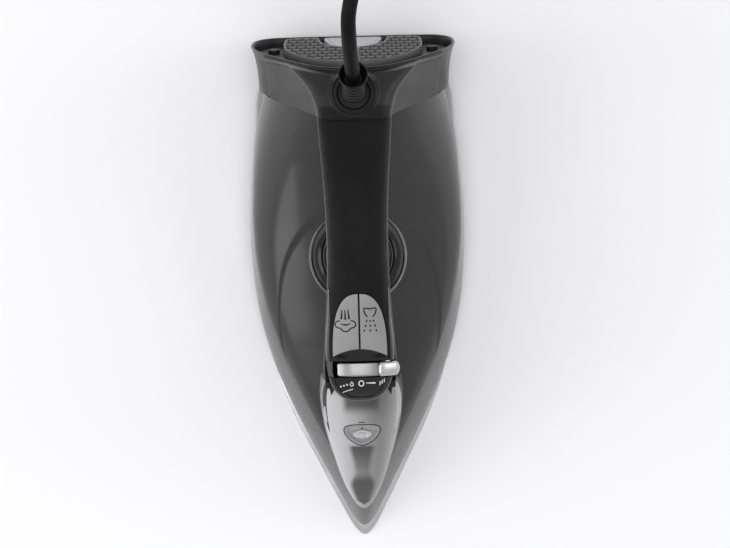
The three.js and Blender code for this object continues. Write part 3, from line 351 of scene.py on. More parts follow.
def finish(name, tone, second, smooth_rough=(0.25, 0.35), patch=0.04, grain=0.0006, depth=0.00002,
           rubbed=None, rub_width=0.0006, relief=None, relief_depth=0.0001, **shader):
    """A material: drifting tone and roughness, grain bump, rubbed edges and a relief where asked."""
    material = bpy.data.materials.new(name)
    material.use_nodes = True
    tree = material.node_tree
    tree.nodes.clear()
    add = Adder(tree)
    drift = add("Group")
    drift.node_tree = DRIFT
    values = {"Tone": tone, "Second Tone": second, "Patch Size": patch, "Grain Size": grain,
              "Smoothest": smooth_rough[0], "Roughest": smooth_rough[1]}
    for label, value in values.items():
        drift.inputs[label].default_value = value
    color = drift.outputs["Color"]
    if rubbed is not None:
        wear = add("Group")
        wear.node_tree = WEAR
        wear.inputs["Rubbed Color"].default_value = rubbed
        wear.inputs["Width"].default_value = rub_width
        tree.links.new(color, wear.inputs["Color"])
        color = wear.outputs["Color"]
    body = add("BsdfPrincipled")
    for label, value in shader.items():
        body.inputs[label.replace("_", " ")].default_value = value
    tree.links.new(color, body.inputs["Base Color"])
    tree.links.new(drift.outputs["Roughness"], body.inputs["Roughness"])
    bump = add("Bump", {"Height": drift.outputs["Grain"], "Distance": depth, "Strength": 1.0})
    if relief is not None:
        net = add("Group")
        net.node_tree = relief
        bump = add("Bump", {"Height": net.outputs[0], "Distance": relief_depth, "Normal": bump.outputs[0]})
    tree.links.new(bump.outputs[0], body.inputs["Normal"])
    out = add("OutputMaterial")
    tree.links.new(body.outputs[0], out.inputs[0])
    return material


def tinted_by(material, **colours):
    """Lays other colours over a finish, each where the attribute of that name says so."""
    tree = material.node_tree
    add = Adder(tree)
    base = next(n for n in tree.nodes if n.type == "BSDF_PRINCIPLED").inputs["Base Color"]
    for name, colour in colours.items():
        mask = add("Attribute", attribute_name=name).outputs["Fac"]
        tree.links.new(add.mix(mask, base.links[0].from_socket, colour), base)
    return material


def give_attribute(piece, name, values):
    """Stores one number for each point, for a finish to read."""
    layer = piece.data.attributes.new(name, "FLOAT", "POINT")
    layer.data.foreach_set("value", np.asarray(values, np.float32))


def vertices_of(piece):
    """The points of a piece, back in millimetres."""
    points = np.empty(len(piece.data.vertices) * 3)
    piece.data.vertices.foreach_get("co", points)
    return points.reshape(-1, 3) / MM


def paint(material, *pieces):
    """Gives every slot of each piece one finish."""
    for piece in pieces:
        if not piece.material_slots:
            piece.data.materials.append(None)
        for slot in piece.material_slots:
            slot.material = material


SHELL = finish("shell gloss", grey(0.02), grey(0.025), (0.24, 0.34), patch=0.07, depth=0.000004,
               Coat_Weight=0.35, Coat_Roughness=0.12, Specular_IOR_Level=0.35)
SOLE = finish("sole metal", grey(0.55), grey(0.62), (0.2, 0.34), patch=0.03, depth=0.000006, Metallic=1.0)
SOFT_GRIP = finish("soft grip", grey(0.004), grey(0.006), (0.5, 0.6), patch=0.03, depth=0.00001,
                   relief=NET, relief_depth=0.00016, Specular_IOR_Level=0.15)
BEAD = finish("seam bead", grey(0.07), grey(0.09), (0.25, 0.34), patch=0.03, depth=0.000004)
SATIN = finish("handle satin black", grey(0.005), grey(0.008), (0.4, 0.5), depth=0.00001, rubbed=grey(0.06),
               Specular_IOR_Level=0.2)
GLOSS = finish("gloss black", grey(0.004), grey(0.006), (0.14, 0.24), depth=0.000003, Coat_Weight=0.2,
               Specular_IOR_Level=0.3)
BEZEL = finish("bezel dark gloss", grey(0.012), grey(0.016), (0.24, 0.34), depth=0.000004, Coat_Weight=0.3,
               Coat_Roughness=0.12, Specular_IOR_Level=0.3)
BUTTON = finish("button satin", grey(0.24), grey(0.27), (0.38, 0.48), patch=0.02, depth=0.00001,
                rubbed=grey(0.62), rub_width=0.0008)
SILVER = finish("satin silver", grey(0.3), grey(0.36), (0.26, 0.36), patch=0.02, depth=0.000008,
                Metallic=0.85)
BRIGHT = finish("bright silver", grey(0.52), grey(0.58), (0.16, 0.24), patch=0.02, depth=0.000004,
                Metallic=0.9)
MOON = finish("grip silver", grey(0.46), grey(0.52), (0.3, 0.4), patch=0.02, depth=0.000006, rubbed=grey(0.8))
RING = finish("ring silver", grey(0.16), grey(0.2), (0.25, 0.35), patch=0.02, depth=0.000004, Metallic=0.5)
SHEATH = finish("cord sheath", grey(0.004), grey(0.006), (0.45, 0.55), patch=0.02, depth=0.00002,
                Specular_IOR_Level=0.1)
STEEL = finish("bright steel", grey(0.6), grey(0.68), (0.22, 0.34), patch=0.006, depth=0.00001, Metallic=1.0)
BRASS = finish("brass", (0.62, 0.48, 0.22, 1), (0.68, 0.54, 0.27, 1), (0.2, 0.32), patch=0.006, Metallic=1.0)
SILICONE = finish("silicone", grey(0.45), grey(0.5), (0.5, 0.6), patch=0.01)
WHITE = finish("white moulding", grey(0.66), grey(0.7), (0.42, 0.52), patch=0.02)
PRINT = finish("printed white", grey(0.75), grey(0.8), (0.4, 0.5), patch=0.01)
INK = finish("printed black", grey(0.006), grey(0.009), (0.4, 0.5), patch=0.01, Specular_IOR_Level=0.12)
INNER_BLACK = finish("inner black", grey(0.006), grey(0.009), (0.45, 0.6), patch=0.02)
BOOT_RUBBER = finish("boot rubber", grey(0.004), grey(0.007), (0.34, 0.44), patch=0.01, depth=0.00001,
                     Specular_IOR_Level=0.35)
TANK_SMOKE = finish("smoked tank", grey(0.28), grey(0.32), (0.12, 0.2), patch=0.03, Transmission_Weight=0.6)
print("finishes:", len(bpy.data.materials))

# %% [markdown]
# The cord is one flexible thing of a fixed length, so its route comes first. It leaves the boot,
# bends over the heel under its own weight, runs down to the floor behind the iron and lies there
# in a neat flat coil of two layers, with the plug just past it. A real hand-wound coil is made of
# round turns, each a diameter inside the last, joined by one gentle shift; so the radius is written
# as level stretches with smooth steps between them, and never as an even spiral.


# %% cord
CORD_RADIUS = 4.0
COIL_Y, COIL_RADIUS, COIL_LOW = 300.0, 52.0, 4.3
TURN_SHIFT = 2 * CORD_RADIUS
CORD_ROUTE = [(0, 124.7, 149.7), (-0.4, 129.4, 160.3), (-1.0, 134.6, 171.3), (-1.6, 144, 183.6),
              (-1.4, 157.3, 191.9), (2.4, 173, 193.6), (8, 188, 188.7), (12, 199.7, 178.1),
              (16, 207, 163.7), (20.5, 212.4, 146), (25.5, 216.4, 126), (30.5, 219.4, 105),
              (35.5, 221.8, 84), (40.5, 224, 63), (45, 227, 44), (48.6, 232.4, 26.4), (50.8, 241.5, 12.6),
              (51.8, 254, 5.6), (52, 263, 4.4), (52, 270, 4.3), (52, 285, 4.3)]
TAIL_ROUTE = [(52, 315, 12.3), (52, 330.4, 12.3), (52, 338, 13.4), (52, 346, 15.8), (52, 354, 18.4),
              (52, 361.6, 19.2)]


def rise(x, low, high):
    """A smooth step from 0 at low to 1 at high."""
    t = np.clip((x - low) / (high - low), 0, 1)
    return t * t * (3 - 2 * t)


def coil_turns():
    """The coil by its total angle in degrees: the radius steps in by one diameter at each shift in
    the lower layer, and out again in the upper one; the height steps up by one in between."""
    turn = np.arange(0, 1800.1, 7.5)
    inwards = rise(turn, 210, 360) + rise(turn, 570, 720)
    outwards = rise(turn, 1040, 1190) + rise(turn, 1400, 1550)
    radius = COIL_RADIUS - TURN_SHIFT * (inwards - outwards)
    height = COIL_LOW + TURN_SHIFT * rise(turn, 820, 930)
    angle = np.radians(turn)
    return np.stack([radius * np.cos(angle), COIL_Y + radius * np.sin(angle), height], 1)


def smooth_path(points, step):
    """One smooth line through the points, sampled at equal steps of length."""
    points = np.array(points, float)
    length = np.r_[0, np.cumsum(np.linalg.norm(np.diff(points, axis=0), axis=1))]
    at = np.linspace(0, length[-1], int(length[-1] / step) + 1)
    return np.stack([through(np.c_[length, points[:, k]])(at) for k in range(3)], 1)


def make_cord(path):
    """A round sheath along the path."""
    curve = bpy.data.curves.new("cord_sheath", "CURVE")
    curve.dimensions = "3D"
    line = curve.splines.new("POLY")
    line.points.add(len(path) - 1)
    line.points.foreach_set("co", np.c_[path * MM, np.ones(len(path))].ravel())
    line.use_smooth = True
    curve.bevel_depth, curve.bevel_resolution, curve.use_fill_caps = CORD_RADIUS * MM, 5, True
    piece = bpy.data.objects.new("cord_sheath", curve)
    bpy.context.scene.collection.objects.link(piece)
    return piece


cord_path = smooth_path(np.vstack([CORD_ROUTE, coil_turns(), TAIL_ROUTE]), 3.0)
cord = make_cord(cord_path)
cord.data.materials.append(SHEATH)
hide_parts("cord_lead", "cord_coil", "cord_tail")
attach(cord, "cord_swivel")

# %% [markdown]
# The outlines. The soleplate is a long pointed leaf. The skirt round it starts just inside the
# sole's edge at the tip, and stands out past it at the rear. The upper shell is a row of arches
# that grow towards the heel, so the flat front deck turns into a tall back.

# %% outlines and the body's arches
HEEL_Y, HEEL_Z = 150.0, 8.0
HEEL_TILT = math.radians(10.5)
COLLAR_LENGTH = 26.0
SHELL_BASE = 24.0
SOLE_HALF = [
    (0, -150), (4.6, -146.6), (15.3, -127.8), (27.2, -104), (39, -80), (48.2, -56), (54.3, -32),
    (57.6, -8), (58.6, 20), (57.6, 50), (54, 76), (45, 91), (26, 97), (0, 98.5),
]
SKIRT_LOW_HALF = [
    (0, -144), (4.2, -141), (11.8, -128), (24.2, -104), (36.4, -80), (47.2, -56), (55.3, -32),
    (60.5, -8), (62.9, 18), (63.3, 42), (61.8, 68), (59.2, 95), (55.8, 124), (0, 140),
]
SKIRT_TOP_HALF = [
    (0, -128), (3.2, -126.4), (8.6, -116), (18.2, -97), (28.6, -77), (38.4, -56), (48.2, -32),
    (55.4, -8), (60, 18), (61.6, 42), (60.6, 68), (58.4, 95), (55.4, 124), (0, 140),
]
arch_width = through([(y, x) for x, y in SKIRT_TOP_HALF[:-1]])
arch_top = through([(-128, 28), (-110, 34), (-80, 41), (-40, 48), (0, 54), (40, 63), (75, 77), (100, 93),
                    (116, 102), (132, 105)])
ARCH_BEND = 2 / 1.8


def seam_y(z, depth=COLLAR_LENGTH + 0.3):
    """Where the leaning seam of the heel stands at a height."""
    return HEEL_Y - (depth + (z - HEEL_Z) * math.sin(HEEL_TILT)) / math.cos(HEEL_TILT)


def heel_taper(y):
    """The body draws in a little where the collar takes over."""
    return 1 - 0.04 * rise(y, 88, 126)


def arch(y, angle, shrink=0.0):
    """A point of the arch at y: across = width cos^b and height = rise sin^b of the angle, where
    b is a little over one, so the arch stands between an ellipse and a pointed one."""
    c, s = np.cos(angle), np.sin(angle)
    x = (arch_width(y) - shrink) * heel_taper(y) * np.sign(c) * np.abs(c) ** ARCH_BEND
    z = SHELL_BASE + (arch_top(y) - shrink - SHELL_BASE) * np.abs(s) ** ARCH_BEND
    return x, z


# %% [markdown]
# The soleplate is a polished casting about three millimetres thick at its edge, with a row of
# steam ports. Its flat face is triangulated with the ports left open, and a rim with a rounded
# edge closes it.


# %% soleplate
PORT_RADIUS = 1.7
PORT_ROWS = [(0, -122), (1, -106), (2, -86), (3, -62), (4, -34), (5, -4), (5.6, 26)]


def soleplate():
    """Rings of the outline, drawn in by a little more at each height, make the rounded edge; the
    ports' walls run up from the face to a blind floor."""
    outline = closed_outline(SOLE_HALF, 260)
    steps = [(1.6, 0.0), (0.7, 0.25), (0.15, 0.8), (0.0, 1.5), (0.25, 2.4), (0.9, 2.9), (2.4, 3.3),
             (3.2, 3.5)]
    rings = np.stack([np.c_[drawn_in(outline, d), np.full(len(outline), z)] for d, z in steps])
    angle = np.linspace(0, 2 * np.pi, 14, endpoint=False)
    circle = np.stack([np.cos(angle), np.sin(angle)], 1) * PORT_RADIUS
    centres = [(side * (4.4 + 7.4 * row), y)
               for row, y in PORT_ROWS
               for side in ((0,) if row == 0 else (-1, 1))]
    loops = [rings[0][:, :2]] + [circle[::-1] + np.array(c) for c in centres]
    flat = np.vstack(loops)
    start = np.cumsum([0] + [len(l) for l in loops])
    edges = [(a + i, a + (i + 1) % (b - a)) for a, b in zip(start[:-1], start[1:]) for i in range(b - a)]
    verts, _, faces, *_ = delaunay_2d_cdt([Vector(p) for p in flat.tolist()], edges, [], 1, 1e-5)
    verts = np.array([tuple(v) for v in verts])
    middle = lambda f: verts[list(f)].mean(axis=0)
    inside = lambda f: min(np.linalg.norm(middle(f) - np.array(c)) for c in centres) > PORT_RADIUS * 0.8
    kept = [tuple(f) for f in faces if inside(f)]
    points = [np.c_[verts, np.zeros(len(verts))]]
    count, all_faces = len(verts), list(kept)
    n = len(outline)
    points.append(rings.reshape(-1, 3))
    all_faces += (sheet_faces(len(steps), n, True) + count).tolist()
    top_middle = count + rings.shape[0] * n
    last = count + (len(steps) - 1) * n
    all_faces += [(last + i, last + (i + 1) % n, top_middle) for i in range(n)]
    points.append(np.array([[0, 15.0, steps[-1][1]]]))
    count = top_middle + 1
    for c in centres:
        wall = np.stack([np.c_[circle + np.array(c), np.full(len(circle), z)] for z in (0.0, 2.0)])
        points.append(wall.reshape(-1, 3))
        m = len(circle)
        all_faces += (sheet_faces(2, m, True) + count).tolist() + [tuple(range(count + m, count + 2 * m))]
        count += 2 * m
    piece = fill_mesh("sole_face", np.vstack(points), all_faces)
    return smooth(point_outwards(piece), 30)


sole = soleplate()
paint(SOLE, sole)
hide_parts("soleplate")
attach(sole, "housing")
print("sole:", len(sole.data.polygons), "faces")

# %% [markdown]
# The skirt is a satin moulding that hides the hot casting. Its wall leans in as it rises, bulges
# a little on the way, and turns over at the top to meet the shell in a thin dark joint.


# %% skirt
SKIRT_FOOT = 4.5


def skirt_wall():
    """Between the foot outline and the head outline the wall goes in by t^1.3, with a slight
    bulge of sin(pi t); a lip at the foot and one at the head turn inwards."""
    foot, head = (closed_outline(half, 300) for half in (SKIRT_LOW_HALF, SKIRT_TOP_HALF))
    rows = []
    lips = [(7.0, SKIRT_FOOT + 1.5, 0), (1.2, SKIRT_FOOT, 0), (0.35, SKIRT_FOOT + 0.1, 0),
            (0.0, SKIRT_FOOT + 0.6, 0.03)]
    for d, z, t in lips:
        rows.append(np.c_[drawn_in(foot + (head - foot) * t, d), np.full(300, z)])
    for t in np.linspace(0.1, 0.965, 14):
        line = foot + (head - foot) * t ** 1.3
        rows.append(np.c_[drawn_in(line, -0.7 * math.sin(math.pi * t)),
                          np.full(300, SKIRT_FOOT + (23.6 - SKIRT_FOOT) * t)])
    for d, z in [(0.12, 23.35), (0.5, 23.62), (1.2, 23.7), (3.4, 23.7)]:
        rows.append(np.c_[drawn_in(head, d), np.full(300, z)])
    points = np.stack(rows)
    limit = seam_y(points[..., 2])
    points[..., 1] = np.minimum(points[..., 1], limit)
    points[..., 0] *= heel_taper(points[..., 1])
    return sheet("skirt_wall", points, caps=True, crease=40)


SKIRT = tinted_by(
    finish("skirt satin", grey(0.12), grey(0.14), (0.28, 0.4), patch=0.05, depth=0.000008, rubbed=grey(0.4),
           Coat_Weight=0.3, Coat_Roughness=0.2),
    rear_light=grey(0.34), foot_line=grey(0.004))
skirt = skirt_wall()
x, y, z = vertices_of(skirt).T
# Painted reflection: the skirt is painted lighter towards the rear, in place of the bright bands that light
# lays along its rear flanks.
give_attribute(skirt, "rear_light", rise(y, -30, 60))
# Painted shade: a dark band along the foot stands in for the shade in the gap above the soleplate.
give_attribute(skirt, "foot_line", 1 - rise(z, 5.6, 7.0))
paint(SKIRT, skirt)
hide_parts("skirt")
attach(skirt, "housing")

# %% [markdown]
# The upper shell carries the looks: one glossy skin from the nose to the heel seam. Its deck
# sinks by a millimetre inside a wide bow round the dial. The dial's well is cut out of it.


# %% upper shell
DIAL_Y = 22.0
DIAL_RADIUS = 25.6
DIAL_FLOOR = 52.0
BOW_CENTRE_Y, BOW_HALF_WIDTH, BOW_LENGTH = -14.0, 47.5, 64.0


def deck_drop(x, y, depth=1.0):
    """How far the deck sinks: the full depth inside an egg-shaped bow, with a soft edge."""
    reach = (np.abs(x) / BOW_HALF_WIDTH) ** 2.3 + (np.abs(y - BOW_CENTRE_Y) / BOW_LENGTH) ** 2.3
    front = rise(y, -64, -30)
    return depth * (1 - rise(reach, 0.93, 1.03)) * front


def upper_shell():
    """Arches at close steps. Towards the heel each arch leans back into the seam's plane."""
    along = np.r_[np.linspace(-127.4, -110, 10), np.linspace(-108, 112, 180),
                  np.linspace(113.2, seam_y(SHELL_BASE), 8)]
    angle = np.linspace(0, np.pi, 150)
    lean = rise(along, 40, seam_y(SHELL_BASE))[:, None] * math.tan(HEEL_TILT)
    y = np.repeat(along[:, None], len(angle), 1)
    for _ in range(3):
        x, z = arch(y, angle[None, :])
        y = along[:, None] - lean * (z - SHELL_BASE)
    z = z - deck_drop(x, y)
    wall = np.stack([x, y, z], -1)
    under = wall[:, [-1, 0]].copy()
    under[..., 0] *= 0.96
    under[..., 2] = SHELL_BASE + 0.02
    points = np.concatenate([wall, under], axis=1)
    shell = sheet("shell_skin", points, crease=30)
    well = turned("well", [(0, DIAL_FLOOR), (DIAL_RADIUS + 3.1, DIAL_FLOOR), (DIAL_RADIUS + 3.1, 80),
                           (0, 80)], (0, DIAL_Y, 0), steps=128)
    return boolean(shell, well, crease=30)


shell = upper_shell()
paint(SHELL, shell)
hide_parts("upper_shell")
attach(shell, "housing")
print("shell:", len(shell.data.polygons), "faces")

# %% [markdown]
# The handle's surface is one long bar whose sections are superellipses: power 2.5 gives flat
# sides with round shoulders. The same formula, read as a height over the plan, is called the
# crown. Everything that lies on the handle (bezel, buttons, label, icons) is laid on the crown.

# %% the handle's formulas
SPLIT_DROP = 13.0
handle_top = through([(-61, 107), (-56, 114), (-48, 121.5), (-36, 127.5), (-20, 133), (7, 138.5), (35, 140),
                      (65, 137), (90, 131), (111, 125), (122, 122), (134, 116)])
handle_bottom = through([(-24, 104.5), (0, 107), (35, 108.5), (65, 107), (90, 102.5), (106, 97)])
handle_half = through([(-61, 13), (-57, 17), (-48, 20), (-36, 20), (-20, 18.8), (10, 16.8), (36, 16.4),
                       (62, 17.2), (90, 19.2), (111, 20.8), (134, 22)])
POWER = 2.5


def crown(x, y, lift=0.0):
    """Height of the handle's top over a place in plan: middle + rise (1 - (x / half)^2.5)^0.4."""
    top, bottom = handle_top(y), handle_bottom(y)
    t = np.clip(np.abs(x) / handle_half(y), 0, 1)
    return (top + bottom) / 2 + (top - bottom) / 2 * (1 - t ** POWER) ** (1 / POWER) + lift


def handle_ring(y, angle, grow=0.0):
    """Points of the handle's sections at rows y and angles measured from its right side up."""
    angle = np.asarray(angle, float)
    angle = angle[None, :] if angle.ndim < 2 else angle
    y, angle = np.broadcast_arrays(np.asarray(y, float)[:, None], angle)
    top, bottom, half = handle_top(y) + grow, handle_bottom(y) - grow, handle_half(y) + grow
    c, s = np.cos(angle), np.sin(angle)
    x = half * np.sign(c) * np.abs(c) ** (2 / POWER)
    z = (top + bottom) / 2 + (top - bottom) / 2 * np.sign(s) * np.abs(s) ** (2 / POWER)
    return np.stack([x, y, z], -1)


def split_angle(y, drop=SPLIT_DROP):
    """The section's angle where the seam between grip and lower handle runs, on the right."""
    top, bottom = handle_top(y), handle_bottom(y)
    level = (top - drop - (top + bottom) / 2) / ((top - bottom) / 2)
    return np.arcsin(np.clip(np.sign(level) * np.abs(level) ** (POWER / 2), -0.999, 0.999))


def to_seam(points, start=60.0):
    """Leans the last rows back so that they end on the heel's sloping seam."""
    y = points[..., 1]
    last = y.max()
    shift = (seam_y(points[..., 2]) - last) * rise(y, start, last)
    points = points.copy()
    points[..., 1] = y + shift
    return points


def between(outer, inner):
    """Points and faces of a solid wall between two sheets of equal rows and columns."""
    rows, columns = outer.shape[:2]
    index = np.arange(rows * columns).reshape(rows, columns)
    count = rows * columns
    faces = [sheet_faces(rows, columns, False), sheet_faces(rows, columns, False)[:, ::-1] + count]
    for edge in (index[0], index[-1], index[:, 0], index[:, -1]):
        faces.append(np.stack([edge[:-1], edge[1:], edge[1:] + count, edge[:-1] + count], 1))
    return np.vstack([outer.reshape(-1, 3), inner.reshape(-1, 3)]), np.vstack(faces).tolist()


def merged(name, parts, crease=38):
    """One mesh from several (points, faces) parts."""
    points, faces, count = [], [], 0
    for part_points, part_faces in parts:
        points.append(part_points)
        faces += [[i + count for i in face] for face in part_faces]
        count += len(part_points)
    return smooth(point_outwards(fill_mesh(name, np.vstack(points), faces)), crease)


def tube_part(path, radius, sides=10, flat=1.0):
    """A round strip along a path: rings of cos and sin about the path's own frame, closed at both
    ends by drawing the first and last ring in to a point. The radius may change along the path."""
    path = np.asarray(path, float)
    along = np.gradient(path, axis=0)
    along /= np.linalg.norm(along, axis=1, keepdims=True)
    side = np.cross(along, [0, 0, 1.0])
    length = np.linalg.norm(side, axis=1, keepdims=True)
    side = np.where(length > 1e-3, side / np.maximum(length, 1e-9), [1.0, 0, 0])
    up = np.cross(side, along)
    angle = np.linspace(0, 2 * np.pi, sides, endpoint=False)
    radius = np.broadcast_to(np.asarray(radius, float), (len(path),))[:, None, None]
    ring = side[:, None] * np.cos(angle)[None, :, None] + up[:, None] * np.sin(angle)[None, :, None] * flat
    points = path[:, None] + ring * radius
    ends = np.stack([path[0], path[-1]])
    count = len(path) * sides
    faces = sheet_faces(len(path), sides, True).tolist()
    i = np.arange(sides)
    j = (i + 1) % sides
    faces += np.stack([np.full(sides, count), j, i], 1).tolist()
    faces += np.stack([np.full(sides, count + 1), count - sides + i, count - sides + j], 1).tolist()
    return np.vstack([points.reshape(-1, 3), ends]), faces


# %% [markdown]
# The lower handle is a hard satin moulding: the underside of the bar and the front column that
# carries it. The grip is a softer moulding laid on top. Between them runs a groove, and a thin
# bead of the lower part catches the light along the whole seam.


# %% lower handle
HANDLE_FRONT_Y = -60.4
COLUMN_HALF, COLUMN_REAR, COLUMN_CORNER = 17.0, -27.0, 6.0


def lower_handle():
    """Sections from the right seam down round the bottom to the left seam, with a sunk lid."""
    y = np.r_[np.linspace(-44.5, -20, 30), np.linspace(-18.6, 104, 120)]
    start = split_angle(y)[:, None]
    t = np.linspace(0, 1, 64)[None, :]
    angle = start - (np.pi + 2 * start) * t
    ring = handle_ring(y, angle)
    lid = ring[:, [-1, -1, 0, 0]].copy()
    lid[:, :, 0] *= [0.965, 0.93, 0.93, 0.965]
    lid[:, :, 2] += [0.0, -1.6, -1.6, 0.0]
    points = to_seam(np.concatenate([ring, lid], axis=1))
    return sheet("handle_lower_half", points, crease=42)


def column():
    """The plan of a box with round rear corners, carried up from the deck. It swells by a cubic
    where it meets the deck and, more to the rear, where it runs into the handle."""
    corner = np.linspace(0, np.pi / 2, 10)
    right = np.c_[COLUMN_HALF - COLUMN_CORNER + COLUMN_CORNER * np.cos(corner),
                  COLUMN_REAR - COLUMN_CORNER + COLUMN_CORNER * np.sin(corner)]
    side = np.c_[np.full(12, COLUMN_HALF), np.linspace(HANDLE_FRONT_Y, COLUMN_REAR - COLUMN_CORNER - 1, 12)]
    half = np.vstack([side, right])
    outline = np.vstack([half, half[::-1] * [-1, 1]])
    z = np.r_[np.linspace(44, 54, 10), np.linspace(57, 94, 10), np.linspace(96, 108.5, 16)]
    foot = (1 - rise(z, 44, 53)) * 2.6
    head = rise(z, 92, 108.5) ** 2
    rear = rise(outline[:, 1], -48, COLUMN_REAR)[None, :]
    x = outline[:, 0][None, :] + np.sign(outline[:, 0])[None, :] * (foot + head * 2.4)[:, None]
    front = rise(outline[:, 1], -36, HANDLE_FRONT_Y)[None, :]
    y = outline[:, 1][None, :] + rear * (foot + head * 7.5)[:, None]
    y = y + front * (12 * rise(z, 88, 104))[:, None]
    return sheet("handle_column", np.stack([x, y, np.broadcast_to(z[:, None], x.shape)], -1), crease=50)


def seam_beads():
    """A bead of half a millimetre along the seam on each side, just below the grip."""
    y = np.linspace(-44, 103, 170)
    parts = []
    for side in (1, -1):
        line = handle_ring(y, split_angle(y, SPLIT_DROP + 0.35)[:, None])[:, 0]
        line[:, 0] = side * (line[:, 0] + 0.05)
        parts.append(tube_part(to_seam(line), 0.55))
    return merged("handle_seam_beads", parts, 60)


lower = lower_handle()
pillar = column()
beads = seam_beads()
paint(SATIN, lower, pillar)
paint(BEAD, beads)
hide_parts("handle_lower")
for piece in (lower, pillar, beads):
    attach(piece, "housing")
print("lower handle:", len(lower.data.polygons), "faces")

# %% [markdown]
# The grip gets its hold from a fine net of raised diamonds. Tens of thousands of tiny ridges
# would cost far too many faces, so the net is a bump in the finish: two families of slanting
# lines, written in the handle's own coordinates, cross each other.


# %% grip
def grip():
    """Sections from the right seam over the top to the left seam, and a flat underside."""
    y = np.linspace(-29.4, 104, 170)
    start = split_angle(y, SPLIT_DROP - 0.1)[:, None]
    t = np.linspace(0, 1, 90)[None, :]
    angle = start + (np.pi - 2 * start) * t
    ring = handle_ring(y, angle)
    under = ring[:, [-1, 0]].copy()
    under[:, :, 0] *= 0.96
    under[:, :, 2] -= 0.2
    return sheet("handle_grip_skin", to_seam(np.concatenate([ring, under], axis=1)), crease=50)


grip_skin = grip()
BUTTON_HALF, BUTTON_FRONT, BUTTON_REAR = 15.0, -28.8, 6.6


def button_half(y, grow=0.0):
    """Half width of the two buttons together: 15 (1 - t^2.6)^(1 / 2.6), t from front to rear."""
    t = np.clip((y - BUTTON_FRONT) / (BUTTON_REAR + grow - BUTTON_FRONT), 0, 1)
    return (BUTTON_HALF + grow) * (1 - t ** 2.6) ** (1 / 2.6)


def button_well():
    """The buttons' outline with half a millimetre to spare, as an upright cutter."""
    y = BUTTON_REAR + 0.5 - (BUTTON_REAR - BUTTON_FRONT + 3) * np.linspace(0, 1, 60) ** 2
    half = button_half(y, 0.5)
    outline = np.vstack([np.c_[half, y], np.c_[-half[:0:-1], y[:0:-1]]])
    return sheet("well", np.stack([np.c_[outline, np.full(len(outline), z)] for z in (129.0, 150.0)]),
                 crease=30)


grip_skin = boolean(grip_skin, button_well(), crease=45)
paint(SOFT_GRIP, grip_skin)
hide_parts("handle_grip")
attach(grip_skin, "housing")
print("grip:", len(grip_skin.data.polygons), "faces")

# %% [markdown]
# The nose is a smoked cover over the filler and the spray pipe. Its sections are fat arches with
# upright flanks. A thin dark stripe of inner parts shows through along its crest, so the cover's
# mesh carries that as an attribute, worked out from the same plan that the inner parts follow.

# %% the nose's formulas
NOSE_BASE, NOSE_WALL, NOSE_REAR_Y = 27.0, 2.0, -47.0
NOSE_POWER = 2 / 0.66
nose_top = through([(-129.5, 29), (-124, 37), (-110, 54), (-92, 74), (-76, 91), (-66, 101), (-56, 106),
                    (-42, 108)])
nose_half = through([(-129.5, 1.4), (-126, 5.0), (-114, 11.2), (-96, 17.2), (-78, 22), (-64, 24),
                     (-54, 24.3), (-42, 22)])


def nose_sheet(y, angle, inset=0.0):
    """Arches at rows y: across = half cos^0.66 and height = base + rise sin^0.66 of the angle."""
    y, angle = np.meshgrid(y, angle, indexing="ij")
    half = np.maximum(nose_half(y) - inset, 0.6)
    height = np.maximum(nose_top(y) - inset - NOSE_BASE, 0.6)
    c, s = np.cos(angle), np.sin(angle)
    return np.stack([half * np.sign(c) * np.abs(c) ** 0.66, y, NOSE_BASE + height * np.abs(s) ** 0.66], -1)


def nose_flank(y, z, inset=0.0):
    """How far out the flank stands at a place seen from the side."""
    t = np.clip((z - NOSE_BASE) / (nose_top(y) - NOSE_BASE), 0, 0.999)
    return nose_half(y) * (1 - t ** NOSE_POWER) ** (1 / NOSE_POWER) - inset


def nose_height(x, y, lift=0.0):
    """The cover's height over a place in plan."""
    t = np.clip(np.abs(x) / nose_half(y), 0, 0.999)
    return NOSE_BASE + (nose_top(y) - NOSE_BASE) * (1 - t ** NOSE_POWER) ** (1 / NOSE_POWER) + lift


def leaf_grid(fore, aft, middle, bulge, rows=40, columns=18, grow=0.0):
    """A leaf seen from the side: rows go from its front point to its tall rear end, columns from
    its lower curve to its upper one; both curves are quadratic."""
    t = np.linspace(0, 1, rows)[:, None]
    y0, y2, y1 = fore - grow, aft + grow, (fore + aft) / 2
    front, rear = middle - bulge * 0.55, middle + bulge * 1.1
    upper_z = (1 - t) ** 2 * front + 2 * t * (1 - t) * (middle + bulge) + t ** 2 * rear + grow
    upper_y = (1 - t) ** 2 * y0 + 2 * t * (1 - t) * y1 + t ** 2 * y2
    lower_z = (1 - t) ** 2 * front + 2 * t * (1 - t) * (middle - bulge * 0.4) + t ** 2 * rear - grow
    lower_y = (1 - t) ** 2 * y0 + 2 * t * (1 - t) * (y2 + 1) + t ** 2 * y2
    v = np.linspace(0, 1, columns)[None, :]
    return lower_y + (upper_y - lower_y) * v, lower_z + (upper_z - lower_z) * v, v


LEAF = (-78.0, -45.0, 79.0, 11.0)
LATCH = (-72.0, -61.5, 78.7, 4.0)


def leaf_cutter(side, leaf, grow):
    """A slab from deep inside the nose to well outside it, in the shape of one leaf."""
    y, z, _ = leaf_grid(*leaf, grow=grow)
    out = np.stack([np.full(y.shape, 30.0 * side), y, z], -1)
    return merged("cutter", [between(out, out * [8 / 30, 1, 1])], 30)


# %% [markdown]
# The nozzle's plan is a rounded triangle with its flat side to the rear. The same outline, a
# little larger, cuts the hole in the cover, so a thin dark joint stays around the nozzle.

# %% nose cover
NOZZLE_HALF = [(0, -84.4), (4.4, -82.6), (8.4, -78.8), (10.1, -75.2), (9.6, -72.6), (7.2, -71.3), (0, -70.9)]


